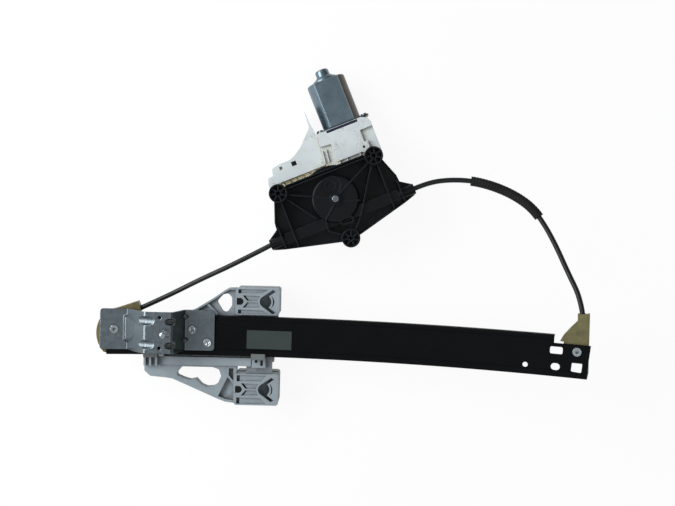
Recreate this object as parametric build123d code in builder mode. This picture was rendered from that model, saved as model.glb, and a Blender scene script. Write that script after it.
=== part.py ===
from build123d import *
from math import asin, atan2, cos, degrees, pi, radians, sin, tan
import os

# Cable-driven window regulator for a car door, lying on its back with the guide rail along X.
# X runs along the rail, Y across it towards the drive unit, Z up out of the face that the door
# panel covers. The origin is under the middle of the regulator, on the surface that it lies on.

os.makedirs("parts", exist_ok=True)

# Guide rail: a pressed channel bent to the curve of the glass
rail_radius = 1200.0
rail_low_x, rail_low_y, rail_low_z = -131.0, -101.3, 44.0
rail_lean = 6.9
rail_from, rail_to = -98.0, 377.0
rail_width = 40.1
rail_wall = 1.5
rail_flange = 9.0
rail_step = 0.8
rail_bend = 0.2
rail_lower_margin, rail_upper_margin = 6.0, 4.2
rail_tab_from = 343.0
rail_tab_top = 12.3
rail_end_slant = 4.4

# Lower bracket: hat-shaped strip riveted over the rail's lower end
bracket_wall = 1.6
bracket_width = 40.6
bracket_y = -95.9
bracket_height = 32.6
bracket_foot_reach, bracket_toe_reach = 14.2, 13.6
bracket_plate_from, bracket_plate_to = -185.6, -159.6
bracket_heel_x, bracket_end_x = -152.4, -121.4
bracket_fold = 3.0
bracket_hole_radius, bracket_hole_pitch, bracket_hole_x = 1.7, 29.6, -171.0
stud_radius, stud_shank, stud_length, stud_x = 3.0, 3.6, 18.0, -164.9
bead_across = (11.5, -11.6)
gusset_width, gusset_y = 22.6, 1.0
rivet_radius, rivet_head, rivet_bore = 2.6, 4.3, 1.8
rivet_spots = [(-143.4, -95.4), (-128.2, -108.1)]

# Rope, pulleys and the housings that turn the rope round at the rail's ends
rope_radius = 0.9
pulley_rope_radius = 8.3
pulley_radius = 9.7
pulley_width = 6.2
pulley_across = 5.5
pulley_depth = 8.0
axle_radius = 3.5
axle_bore = 1.6
running_gap = 0.06
side_gap = 0.35
lower_axle, upper_axle = -89.9, 364.7
lower_exit, upper_exit = 24.6, 99.3
housing_thickness = 12.2
conduit_radius = 2.5
socket_gap = 0.2
socket_depth = 6.0
conduit_gap = 0.3

# Glass carrier
carrier_front, carrier_arm_back, carrier_plate_top, carrier_plate_back = 38.0, 25.0, 32.5, 27.0
clamp_slot = 6.2
jaw_top = 15.8
carrier_clearance = 0.7
clip_reach = 3.1
clip_gap = 0.35
clip_length = 14.0
clip_spots = [-54.3, 53.8]
shoe_spots = [-38.0, 54.0]
carrier_rib = 1.8
clip_wall = 2.0
shoe_depth = 9.6
beam_edge = rail_low_y - rail_width / 2 - clip_gap - clip_wall - 0.2
foot_top = 43.2
shoe_y = -92.0
nipple_spots = [-14.0, 14.0]
nipple_radius, nipple_length, nipple_bore = 3.2, 8.0, 1.1
post_rise = 5.0
heel_length = 9.4
pin_end, pin_inset = 5.0, 4.5

# Drive unit, turned in plan about its drum pin
unit_x, unit_y, unit_turn = -3.6, 38.2, 22.9
boss_radius, boss_wall, boss_bore = 9.2, 1.5, 2.1
boss_hub = 3.3
boss_side, boss_up, boss_down = 50.4, 25.5, -41.5
plate_wall = 2.5
rib_wall = 1.4
cup_radius, cup_wall = 24.0, 2.2
flange_radius = 34.2
exit_overhang, exit_across, exit_height = 26.1, -19.0, 50.0
exit_reach = boss_side + exit_overhang
split_drop, plate_rise, cup_lift = 9.5, 5.0, 7.5
unit_split = exit_height - split_drop
plate_top = unit_split + plate_rise
cup_top = exit_height + cup_lift
exit_radius = 5.4
drum_rope_radius = 18.4
drum_rim = 20.6
pin_radius, pin_lift = 3.55, 4.9
pin_top = cup_top + pin_lift
ferrule_radius, ferrule_length = 3.6, 12.0
rim_height = 4.0
duct_inset, duct_rise = 16.5, 5.0
duct_reach, duct_top = exit_reach - duct_inset, exit_height + duct_rise
rope_way = 7.0
boss_lift, boss_length, boss_pocket, boss_spokes = 1.5, 20.0, 12.0, 7
boss_back = unit_split + boss_lift
boss_front = boss_back + boss_length
boss_floor = boss_front - boss_pocket
hub_lift, rib_lift = 2.5, 1.1
hub_top, rib_top = cup_top + hub_lift, cup_top + rib_lift
drum_gap, drum_lift, drum_seat = 0.5, 4.5, 3.0
drum_back, drum_front = unit_split + drum_gap, exit_height + drum_lift
rope_heights = (exit_height + 2.6, exit_height - 4.8)
winding_heights = (exit_height - 2.0, exit_height)
hub_radius, hub_seat, hub_plate_top = 11.4, drum_back + drum_seat, 28.4

# Gears and motor
wheel_radius = 29.5
worm_radius = 5.4
wheel_teeth = 73
tooth_depth = 1.5
motor_height = 21.0
wheel_width = 9.0
chamber_radius = 31.4
motor_flange = 69.0
can_end = 116.2
can_radius, can_half = 19.9, 15.6
can_wall = 1.6
core_radius = 11.9
magnet_gap = 0.7
shaft_radius = 2.5
cup_end = 128.2
cup_end_radius, ring_radius, ring_rise = 7.0, 9.0, 4.6
step_radius, step_rise = 12.4, 2.6
cup_rise = cup_end - can_end
wheel_top = 25.5
damper_inner, damper_outer, damper_sink, damper_top = 12.0, 22.5, 5.0, 25.9
chamber_top = 29.0
cover_wall = 2.0
block_back, block_front, step_drop = 3.0, unit_split - 1.5, 3.0
tunnel_radius, tunnel_from, mouth_from, mouth_radius = 7.6, -21.0, 56.0, 17.0
gasket_from, gasket_wall, gasket_width = 64.4, 2.6, 33.0
motor_screw_side, motor_screw_radius, motor_screw_length = 24.0, 1.9, 14.0
wing_back, wing_front, board_height, board_wall = 4.0, 34.0, 16.0, 1.6
pin_count, pin_pitch, pin_lift = 3, 1.3, 3.0
magnet_from, magnet_to = 74.0, 112.0
core_from, core_to, core_slots, winding_reach = 80.0, 106.0, 10, 4.5
commutator_from, commutator_length, commutator_radius = 60.0, 10.0, 5.0
holder_wall, brush_width, brush_height = 2.0, 4.0, 4.5
worm_core, worm_from, worm_to = 4.3, -9.0, 20.0
shaft_from, shaft_to = -18.6, 124.5
bush_spots, bush_length = (-19.0, 50.0), 4.0
rear_bush_radius, rear_bush_from, rear_bush_length = 5.4, 117.0, 6.0

# Label
label_from, label_to, label_across, label_height, label_wall = 42.0, 87.0, -2.6, 18.6, 0.3

# Frames of reference
housing_seat = rail_wall + rail_step
lean = radians(rail_lean)
rail_low = Vector(rail_low_x, rail_low_y, rail_low_z)
bend_centre = rail_low + Vector(0, -sin(lean), cos(lean)) * rail_radius
bend_direction = Vector(0, -cos(lean), -sin(lean))
bend_axis = Axis(bend_centre, bend_direction)
unit = Plane(
    origin=(unit_x, unit_y, 0),
    x_dir=(cos(radians(unit_turn)), sin(radians(unit_turn)), 0),
    z_dir=(0, 0, 1),
)
worm_offset = wheel_radius + worm_radius


def rail_plane(along, across=0.0, depth=0.0):
    """Plane carried along the rail's bend: x along the rail, y across it, z out of its front."""
    turn = Location(bend_centre, bend_direction, degrees(along / rail_radius))
    low = Location((rail_low.X, rail_low.Y + across, rail_low.Z + depth))
    return Plane(turn * Location(-bend_centre) * low)


def rail_section(along):
    """Plane square to the rail: x across it, y out of its front."""
    face = rail_plane(along)
    return Plane(origin=face.origin, x_dir=face.y_dir, z_dir=face.x_dir)


def along_of(x):
    """Distance along the bend of the front face's point above x."""
    return rail_radius * asin((x - rail_low_x) / rail_radius)


def unit_point(a, b, z):
    """Point given in the drive unit's own plan."""
    return unit.from_local_coords((a, b, z))


def motor_plane(reach):
    """Plane square to the motor's axis: x across the unit, y downwards."""
    return Plane(origin=unit_point(worm_offset, reach, motor_height), x_dir=unit.x_dir, z_dir=unit.y_dir)


def unit_plane(height):
    """The drive unit's plan at one height."""
    return unit.offset(height)


def bent_strip(points, wall, bend):
    """Outline of a bent sheet seen edge on: the points' face, and the other a wall to their left."""
    points = [Vector(*p) for p in points]
    ways = [(b - a).normalized() for a, b in zip(points, points[1:])]
    lefts = [Vector(-way.Y, way.X) for way in ways]
    far = [points[0] + lefts[0] * wall]
    near_bends, far_bends = [0], [0]
    for point, before, after in zip(points[1:-1], lefts, lefts[1:]):
        far.append(point + (before + after) * (wall / (1 + before.dot(after))))
        left_turn = before.cross(after).Z > 0
        near_bends.append(bend + wall if left_turn else bend)
        far_bends.append(bend if left_turn else bend + wall)
    far.append(points[-1] + lefts[-1] * wall)
    bends = near_bends + [0, 0] + far_bends[:0:-1] + [0]
    FilletPolyline(*points, *reversed(far), radius=bends, close=True)


def finish(builder, name):
    """Label a finished piece and write it out."""
    builder.part.label = name
    export_step(builder.part, f"parts/{name}.step")


# Guide rail
half_width = rail_width / 2
lower_edge, upper_edge = -half_width, half_width
step_low = lower_edge + rail_lower_margin
step_high = upper_edge - rail_upper_margin
rail_arc = degrees((rail_to - rail_from) / rail_radius)
with BuildPart() as guide_rail:
    with BuildSketch(rail_section(rail_from)):
        with BuildLine():
            bent_strip([
                (lower_edge, -rail_flange),
                (lower_edge, -rail_step),
                (step_low, -rail_step),
                (step_low + rail_step, 0),
                (step_high - rail_step, 0),
                (step_high, -rail_step),
                (upper_edge, -rail_step),
                (upper_edge, -rail_flange),
            ][::-1], rail_wall, rail_bend)
        make_face()
    revolve(axis=bend_axis, revolution_arc=rail_arc)
    # The upper flange and edge end before the tab, and the flange is cut back for the lower housing
    tab_length = rail_to - rail_tab_from
    with BuildSketch(rail_plane(rail_tab_from, rail_tab_top, 4.0)):
        with Locations((0, 0)):
            Rectangle(3 * tab_length, rail_width, align=(Align.MIN, Align.MIN))
    extrude(amount=-3 * rail_flange, mode=Mode.SUBTRACT)
    with BuildSketch(rail_plane(lower_axle, 0, -housing_seat)):
        with Locations((-13, half_width)):
            Rectangle(37, 8, align=(Align.MIN, Align.CENTER))
        with Locations((-13, -half_width)):
            Rectangle(11, 8, align=(Align.MIN, Align.CENTER))
    extrude(amount=-2 * rail_flange, mode=Mode.SUBTRACT)
    with BuildSketch(rail_plane(upper_axle, 0, -housing_seat)):
        with Locations((4, -half_width)):
            Rectangle(17, 8, align=(Align.MIN, Align.CENTER))
    extrude(amount=-2 * rail_flange, mode=Mode.SUBTRACT)
    # The tab's end is cut off aslant
    with BuildSketch(rail_plane(rail_to, 12.0, 4.0)):
        Rectangle(20, 4 * rail_width, rotation=-rail_end_slant, align=(Align.MIN, Align.CENTER))
    extrude(amount=-3 * rail_flange, mode=Mode.SUBTRACT)
    # Holes in the end tab, and the bores for the axles and the bracket's rivets
    with BuildSketch(rail_plane(345.5, 5.4, 4.0)):
        RectangleRounded(11.8, 6.9, 1.6)
    extrude(amount=-12, mode=Mode.SUBTRACT)
    with BuildSketch(rail_plane(345.5, -10.3, 4.0)):
        SlotOverall(8.5, 6.8)
    extrude(amount=-12, mode=Mode.SUBTRACT)
    with BuildSketch(rail_plane(365.2, -9.3, 4.0)):
        RectangleRounded(9.6, 9.3, 1.3, rotation=-4)
    extrude(amount=-12, mode=Mode.SUBTRACT)
    with BuildSketch(rail_plane(317.2, -10.8, 4.0)):
        Circle(2.5)
    extrude(amount=-12, mode=Mode.SUBTRACT)
    for spot in (lower_axle, upper_axle):
        with BuildSketch(rail_plane(spot, pulley_across, 4.0)):
            Circle(axle_radius)
        extrude(amount=-12, mode=Mode.SUBTRACT)
    for x, y in rivet_spots:
        with BuildSketch(rail_plane(along_of(x), y - rail_low_y, 4.0)):
            Circle(rivet_radius)
        extrude(amount=-12, mode=Mode.SUBTRACT)
finish(guide_rail, "guide_rail")

def bead(x, y, z, slope, reach, rise):
    """Rounded bead pressed in the strip: half an ellipse turned about its long axis."""
    plane = Plane(origin=(x, y, z), x_dir=(cos(radians(slope)), 0, sin(radians(slope))), z_dir=(0, -1, 0))
    with BuildSketch(plane) as profile:
        with BuildLine():
            EllipticalCenterArc((0, 0), reach, rise, start_angle=0, arc_size=180)
            Line((-reach, 0), (reach, 0))
        make_face()
    revolve(profile.sketch, axis=Axis(plane.origin, plane.x_dir))


# Lower bracket
foot = rail_plane(lower_axle)
rail_lift = 0.1
foot_from = foot.origin - foot.x_dir * bracket_foot_reach + foot.z_dir * rail_lift
foot_to = foot.origin + foot.x_dir * bracket_toe_reach + foot.z_dir * rail_lift
bracket_top = rail_low_z + bracket_height
side = Plane(origin=(0, bracket_y, 0), x_dir=(1, 0, 0), z_dir=(0, -1, 0))
with BuildPart() as lower_bracket:
    with BuildSketch(side):
        with BuildLine():
            bent_strip([
                (foot_from.X, foot_from.Z),
                (foot_to.X, foot_to.Z),
                (bracket_plate_from, bracket_top - bracket_wall),
                (bracket_plate_to, bracket_top - bracket_wall),
                (bracket_heel_x, rail_low_z + rail_lift),
                (bracket_end_x, rail_low_z + rail_lift),
            ], bracket_wall, bracket_fold)
        make_face()
    extrude(amount=bracket_width / 2, both=True)
    # Corners of the two flats
    fillet(lower_bracket.edges().filter_by(Axis.Z).group_by(Axis.X)[-1], 3.2)
    # Stiffening beads pressed across the folds, and the gusset in the first fold
    for across in bead_across:
        bead_y = bracket_y + across
        bead(bracket_plate_from + 0.6, bead_y, bracket_top - 2.2, 24, 7.8, 4.9)
        bead(bracket_plate_to - 0.4, bead_y - 0.8, bracket_top - 2.6, -38, 5.4, 4.0)
        bead(bracket_heel_x + 0.6, bead_y + 2.0, rail_low_z + 2.4, -38, 5.0, 2.6)
    gusset = Plane(origin=(foot_to.X, bracket_y + gusset_y, foot_to.Z), x_dir=(1, 0, 0), z_dir=(0, -1, 0))
    with BuildSketch(gusset):
        with BuildLine():
            Polyline((-4.4, 1), (9.2, 14.8), (2.5, 1), close=True)
        make_face()
    extrude(amount=gusset_width / 2, both=True)
    # Everything stays above the rail's face
    with BuildSketch(Plane.XY.offset(rail_low_z + rail_lift)):
        with Locations((bracket_heel_x + 10, bracket_y)):
            Rectangle(30, 2 * bracket_width)
    extrude(amount=-6, mode=Mode.SUBTRACT)
    with BuildSketch(rail_plane(lower_axle, 0, rail_lift)):
        Rectangle(40, 3 * bracket_width)
    extrude(amount=-6, mode=Mode.SUBTRACT)
    # Holes
    with BuildSketch(Plane.XY.offset(bracket_top + 5)):
        with Locations((bracket_hole_x, bracket_y)):
            with GridLocations(1, bracket_hole_pitch, 1, 2):
                Circle(bracket_hole_radius)
        with Locations((stud_x, bracket_y)):
            Circle(stud_shank + running_gap)
    extrude(amount=-12, mode=Mode.SUBTRACT)
    with BuildSketch(rail_plane(lower_axle, pulley_across, 8)):
        Circle(axle_radius)
    extrude(amount=-14, mode=Mode.SUBTRACT)
    with BuildSketch(Plane.XY.offset(rail_low_z + 6)):
        with Locations(*rivet_spots):
            Circle(rivet_radius)
    extrude(amount=-12, mode=Mode.SUBTRACT)
finish(lower_bracket, "lower_bracket")

with BuildPart() as bracket_rivets:
    for x, y in rivet_spots:
        seat = rail_plane(along_of(x), y - rail_low_y)
        with BuildSketch(seat.offset(-rail_wall)):
            Circle(rivet_radius)
        extrude(amount=rail_wall + bracket_wall + rail_lift)
        with BuildSketch(seat.offset(bracket_wall + rail_lift)):
            Circle(rivet_head)
        extrude(amount=1.5, taper=12)
        with BuildSketch(seat.offset(bracket_wall + rail_lift + 1.5)):
            Circle(rivet_bore)
        extrude(amount=-2.4, mode=Mode.SUBTRACT)
        with BuildSketch(seat.offset(-rail_wall)):
            Circle(rivet_head - 0.4)
        extrude(amount=-1.1)
finish(bracket_rivets, "bracket_rivets")

with BuildPart() as bracket_stud:
    with BuildSketch(Plane.XY.offset(bracket_top)):
        with Locations((stud_x, bracket_y)):
            Circle(stud_radius)
    extrude(amount=stud_length)
    chamfer(bracket_stud.faces().sort_by(Axis.Z)[-1].edges(), 0.6)
    with BuildSketch(Plane.XY.offset(bracket_top)):
        with Locations((stud_x, bracket_y)):
            Circle(stud_shank)
    extrude(amount=-bracket_wall - 1.4)
    with BuildSketch(Plane.XY.offset(bracket_top)):
        with Locations((stud_x, bracket_y)):
            Circle(stud_radius + 2.2)
    extrude(amount=1.6, taper=30)
finish(bracket_stud, "bracket_stud")

# Pulley housings: each is drawn on the plane of its own axle
pulley_half = pulley_width / 2
pocket_half = pulley_half + side_gap
rope_across = pulley_across - pulley_rope_radius


def exit_points(angle, turn_side):
    """Where the rope leaves the pulley, and the way it goes from there."""
    way = Vector(cos(radians(angle)), sin(radians(angle)))
    off = Vector(-way.Y, way.X) * turn_side * pulley_rope_radius
    return Vector(0, pulley_across) + off, way


def exit_axis_plane(face, start, way, reach):
    """Plane square to the rope's way out, reach along it from where it leaves the pulley."""
    spot = start + way * reach
    origin = face.from_local_coords((spot.X, spot.Y, -pulley_depth))
    direction = face.x_dir * way.X + face.y_dir * way.Y
    return Plane(origin=origin, x_dir=face.z_dir, z_dir=direction)


lower_face, upper_face = rail_plane(lower_axle), rail_plane(upper_axle)
lower_leave, lower_way = exit_points(lower_exit, 1)
upper_leave, upper_way = exit_points(upper_exit, -1)
lower_reach, upper_reach = 31.5, 34.5


def pulley_cuts(face, leave, way, reach, rail_side):
    """Pocket for the pulley, bore for its axle, ways for the rope and the conduit's socket."""
    with BuildSketch(face.offset(-pulley_depth + pocket_half)) as profile:
        with Locations((0, pulley_across)):
            Circle(pulley_radius + side_gap)
    extrude(profile.sketch, amount=-2 * pocket_half, mode=Mode.SUBTRACT)
    with BuildSketch(face) as profile:
        with Locations((0, pulley_across)):
            Circle(axle_radius)
    extrude(profile.sketch, amount=-30, mode=Mode.SUBTRACT)
    with BuildSketch(face.offset(-pulley_depth + 2)) as profile:
        with Locations((rail_side * 15, rope_across)):
            Rectangle(30, 4)
    extrude(profile.sketch, amount=-4, mode=Mode.SUBTRACT)
    with BuildSketch(exit_axis_plane(face, leave, way, 0)) as profile:
        Circle(rope_radius + 0.7)
    extrude(profile.sketch, amount=reach, mode=Mode.SUBTRACT)
    with BuildSketch(exit_axis_plane(face, leave, way, reach - socket_depth)) as profile:
        Circle(conduit_radius + socket_gap)
    extrude(profile.sketch, amount=3 * socket_depth, mode=Mode.SUBTRACT)


with BuildPart() as lower_pulley_housing:
    with BuildSketch(lower_face.offset(-housing_seat)):
        with BuildLine():
            ThreePointArc((-11.1, -17.6), (-18.2, 3.7), (-8.2, 23.7))
            Polyline((-8.2, 23.7), (2.3, 26.4), (22.7, 33.3), (26.2, 23.6), (19.0, 20.2), (17.4, 4.0), (17.4, -14.6),
                     (-5.6, -14.6), (-5.6, -19.3), (-11.1, -17.6))
        make_face()
    extrude(amount=-housing_thickness)
    pulley_cuts(lower_face, lower_leave, lower_way, lower_reach, 1)
finish(lower_pulley_housing, "lower_pulley_housing")

with BuildPart() as upper_pulley_housing:
    with BuildSketch(upper_face.offset(-housing_seat)):
        with BuildLine():
            Polyline((-1.8, 41.4), (-1.4, 34.8), (-7.4, 28.0), (-13.6, 20.2), (-16.6, 14.2), (-13.0, 14.0),
                     (-13.0, -6.0), (-4.8, -6.0), (-4.8, -5.6), (6.4, -5.6), (6.0, -18.4), (10.6, -20.2), (11.4, -15.0),
                     (9.2, 41.2), (8.6, 42.5), (6.8, 41.6), (-1.8, 41.4))
        make_face()
    extrude(amount=-housing_thickness)
    pulley_cuts(upper_face, upper_leave, upper_way, upper_reach, -1)
finish(upper_pulley_housing, "upper_pulley_housing")


def pulley(face):
    """Grooved pulley on its axle, square to the plane of the rail's face."""
    centre = Plane(
        origin=face.from_local_coords((0, pulley_across, -pulley_depth)), x_dir=face.x_dir, z_dir=-face.y_dir
    )
    bore = axle_radius + running_gap
    with BuildSketch(centre) as profile:
        with BuildLine():
            Polyline((bore, -pulley_half), (pulley_radius, -pulley_half), (pulley_radius, -pulley_half + 0.8))
            Line((pulley_radius, -pulley_half + 0.8), (pulley_rope_radius - 0.6, -1.1))
            ThreePointArc((pulley_rope_radius - 0.6, -1.1), (pulley_rope_radius - rope_radius - 0.3, 0),
                          (pulley_rope_radius - 0.6, 1.1))
            Polyline((pulley_rope_radius - 0.6, 1.1), (pulley_radius, pulley_half - 0.8),
                     (pulley_radius, pulley_half), (bore, pulley_half), (bore, -pulley_half))
        make_face()
    revolve(profile.sketch, axis=Axis(centre.origin, face.z_dir))
    # Lightening holes
    with BuildSketch(face) as profile:
        with Locations((0, pulley_across)):
            with PolarLocations((axle_radius + pulley_rope_radius) / 2 - 0.4, 6):
                Circle(0.9)
    extrude(profile.sketch, amount=-30, mode=Mode.SUBTRACT)


def axle(face, front):
    """Hollow rivet through rail and housing, with a rolled head at each end."""
    back = housing_seat + housing_thickness
    with BuildSketch(face.offset(front)) as profile:
        with Locations((0, pulley_across)):
            Circle(axle_radius)
    extrude(profile.sketch, amount=-front - back)
    with BuildSketch(face.offset(front)) as profile:
        with Locations((0, pulley_across)):
            Circle(axle_radius + 0.9)
    extrude(profile.sketch, amount=0.8, taper=20)
    with BuildSketch(face.offset(-back)) as profile:
        with Locations((0, pulley_across)):
            Circle(axle_radius + 1.4)
    extrude(profile.sketch, amount=-1.2, taper=15)
    with BuildSketch(face.offset(front + 2)) as profile:
        with Locations((0, pulley_across)):
            Circle(axle_bore)
    extrude(profile.sketch, amount=-6, mode=Mode.SUBTRACT)


with BuildPart() as lower_pulley:
    pulley(lower_face)
finish(lower_pulley, "lower_pulley")
with BuildPart() as upper_pulley:
    pulley(upper_face)
finish(upper_pulley, "upper_pulley")
with BuildPart() as lower_pulley_axle:
    axle(lower_face, bracket_wall + rail_lift)
finish(lower_pulley_axle, "lower_pulley_axle")
with BuildPart() as upper_pulley_axle:
    axle(upper_face, 0.0)
finish(upper_pulley_axle, "upper_pulley_axle")


def rope_turn(face, start_angle, sweep_angle):
    """Rope laid round a pulley, from one angle about its axle through another."""
    hub = face.from_local_coords((0, pulley_across, -pulley_depth))
    way = face.x_dir * cos(radians(start_angle)) + face.y_dir * sin(radians(start_angle))
    with BuildSketch(Plane(origin=hub + way * pulley_rope_radius, x_dir=way, z_dir=face.z_dir.cross(way))) as profile:
        Circle(rope_radius)
    turn_axis = face.z_dir if sweep_angle > 0 else -face.z_dir
    revolve(profile.sketch, axis=Axis(hub, turn_axis), revolution_arc=abs(sweep_angle))


with BuildPart() as rail_rope:
    with BuildSketch(rail_section(lower_axle)):
        with Locations((rope_across, -pulley_depth)):
            Circle(rope_radius)
    revolve(axis=bend_axis, revolution_arc=degrees((upper_axle - lower_axle) / rail_radius))
    rope_turn(lower_face, -90, -180 + lower_exit)
    rope_turn(upper_face, -90, upper_exit)
    for face, leave, way, reach in (
        (lower_face, lower_leave, lower_way, lower_reach),
        (upper_face, upper_leave, upper_way, upper_reach),
    ):
        with BuildSketch(exit_axis_plane(face, leave, way, 0)):
            Circle(rope_radius)
        extrude(amount=reach - socket_depth)
finish(rail_rope, "rail_rope")

# Conduits: straight runs joined by tangent arcs, from the drum housing to the rail's ends
lower_seat = exit_axis_plane(lower_face, lower_leave, lower_way, lower_reach - socket_depth)
upper_seat = exit_axis_plane(upper_face, upper_leave, upper_way, upper_reach - socket_depth)


def conduit_route(start_side, middle, seat, last_run):
    """Route from the ferrule in the drum housing, through the middle points, to a pulley housing."""
    start = unit_point(start_side * (exit_reach + conduit_gap), exit_across, exit_height)
    return [start, *[Vector(*point) for point in middle], seat.origin + seat.z_dir * last_run, seat.origin]


def route_radii(route):
    """Largest arc at each point: 0.45 of the shorter run over the tangent of half the turn."""
    radii = []
    for a, b, c in zip(route, route[1:], route[2:]):
        turn = radians((b - a).get_angle(c - b))
        radii.append(0.45 * min((b - a).length, (c - b).length) / tan(turn / 2))
    return radii


lower_middle = [(-101.0, -27.8, 49.4), (-137.5, -45.4, 43.6)]
upper_middle = [
    (88.0, 56.6, 50.4), (108.0, 60.0, 51.0), (131.0, 59.6, 53.0), (153.0, 54.2, 57.0), (173.5, 45.0, 62.0),
    (190.0, 32.5, 67.0), (202.0, 14.5, 72.0), (212.0, -5.5, 77.0), (221.0, -27.0, 82.5),
]
lower_route = conduit_route(-1, lower_middle, lower_seat, 32.0)
upper_route = conduit_route(1, upper_middle, upper_seat, 20.0)


def conduit(route):
    """Round tube along a route."""
    radii = route_radii(route)
    with BuildLine() as path:
        FilletPolyline(*route, radius=radii)
    with BuildSketch(Plane(origin=path.line @ 0, z_dir=path.line % 0)) as profile:
        Circle(conduit_radius)
    sweep(profile.sketch, path=path.line)
    print("conduit radii", [round(r) for r in radii], "length", round(path.wire().length, 1))
    return path.wire().length


with BuildPart() as lower_conduit:
    lower_length = conduit(lower_route)
finish(lower_conduit, "lower_conduit")
with BuildPart() as upper_conduit:
    upper_length = conduit(upper_route)
finish(upper_conduit, "upper_conduit")
for tube, length in ((lower_conduit, lower_length), (upper_conduit, upper_length)):
    print("conduit volume over section times length", round(tube.part.volume / (pi * conduit_radius**2 * length), 4))

# Foam sleeve on the upper conduit
sleeve_run, sleeve_end_run = 3, 6
sleeve_share = 0.85
sleeve_radius, sleeve_gap = 4.7, 0.15
sleeve_start = upper_route[sleeve_run] + (upper_route[sleeve_run + 1] - upper_route[sleeve_run]) * sleeve_share * 0.6
sleeve_end = upper_route[sleeve_end_run] + (upper_route[sleeve_end_run + 1] - upper_route[sleeve_end_run]) * 0.5
with BuildPart() as conduit_sleeve:
    with BuildLine() as sleeve_path:
        FilletPolyline(
            sleeve_start,
            *upper_route[sleeve_run + 1:sleeve_end_run + 1],
            sleeve_end,
            radius=route_radii(upper_route)[sleeve_run:sleeve_end_run],
        )
    with BuildSketch(Plane(origin=sleeve_path.line @ 0, z_dir=sleeve_path.line % 0)):
        Circle(sleeve_radius)
        Circle(conduit_radius + sleeve_gap, mode=Mode.SUBTRACT)
    sweep(path=sleeve_path.line)
finish(conduit_sleeve, "conduit_sleeve")

with BuildPart() as conduit_ferrules:
    for end in (-1, 1):
        mouth = Plane(
            origin=unit_point(end * exit_reach, exit_across, exit_height), x_dir=(0, 0, 1), z_dir=-unit.x_dir * end
        )
        with BuildSketch(mouth):
            Circle(ferrule_radius)
            Circle(rope_radius + side_gap, mode=Mode.SUBTRACT)
        extrude(amount=ferrule_length)
finish(conduit_ferrules, "conduit_ferrules")

# Clips round the rail's lower edge and shoes inside its upper flange, which guide the carrier
with BuildPart() as guide_clips:
    for spot in clip_spots:
        wall_face = lower_edge - clip_gap
        back_face = -rail_flange - clip_gap
        with BuildSketch(rail_section(spot)):
            with BuildLine():
                Polyline(
                    (wall_face - clip_wall, 1.5), (lower_edge + clip_reach, 1.5),
                    (lower_edge + clip_reach, clip_gap - rail_step), (wall_face, clip_gap - rail_step),
                    (wall_face, back_face), (lower_edge + clip_reach, back_face),
                    (lower_edge + clip_reach, back_face - clip_wall), (wall_face - clip_wall, back_face - clip_wall),
                    close=True,
                )
            make_face()
        extrude(amount=clip_length / 2, both=True)
finish(guide_clips, "guide_clips")

with BuildPart() as guide_shoes:
    shoe_outer = half_width - rail_wall - clip_gap
    for spot in shoe_spots:
        with BuildSketch(rail_section(spot)):
            with BuildLine():
                Polyline(
                    (-1.7, -rail_wall - clip_gap), (13.6, -rail_wall - clip_gap),
                    (14.4, -housing_seat - clip_gap), (shoe_outer, -housing_seat - clip_gap),
                    (shoe_outer, -shoe_depth), (-1.7, -shoe_depth), close=True,
                )
            make_face()
        extrude(amount=clip_length / 2, both=True)
finish(guide_shoes, "guide_shoes")

# Glass carrier: one grey moulding in front of the glass clamps and under the rail
wing_outline = [
    (-158.0, -82.0), (-142.7, -75.6), (-132.7, -69.4), (-122.7, -62.9), (-112.8, -55.8), (-108.6, -53.4),
    (-101.0, -53.0), (-101.0, -82.0),
]
wing_hole = [(-120.4, -67.5), (-114.7, -61.1), (-109.9, -59.6), (-106.5, -63.4), (-106.3, -71.1), (-110.5, -77.4),
             (-114.4, -77.0)]
arm_outline = [
    (-192.8, -132.8), (-192.6, -139.0), (-186.5, -144.3), (-171.0, -145.5), (-163.9, -146.6), (-117.7, -166.3),
    (-110.5, -168.9), (-99.4, -170.2), (-99.4, beam_edge), (-192.8, beam_edge),
]
arm_window = [
    (-161.5, -142.2), (-154.5, -134.0), (-124.0, -134.0), (-117.2, -136.2), (-115.0, -142.9), (-118.4, -151.0),
    (-122.6, -153.8), (-129.0, -154.4), (-134.6, -152.2), (-140.3, -146.2), (-146.4, -147.6), (-153.0, -145.8),
]
upper_block = (-101.6, -57.6, -80.3, -53.0)
lower_block = (-101.6, -57.0, -171.6, -139.9)
panel_sink, pit_sink = 1.6, 6.0
block_rounds, window_rounds = 2.6, 2.6
pin_shank_radius, pin_play, pin_head_radius, pin_sink = 2.6, 0.3, 3.3, 3.5


def block_centre(block):
    """Middle of a clamp block, in Y."""
    return (block[2] + block[3]) / 2


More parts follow.
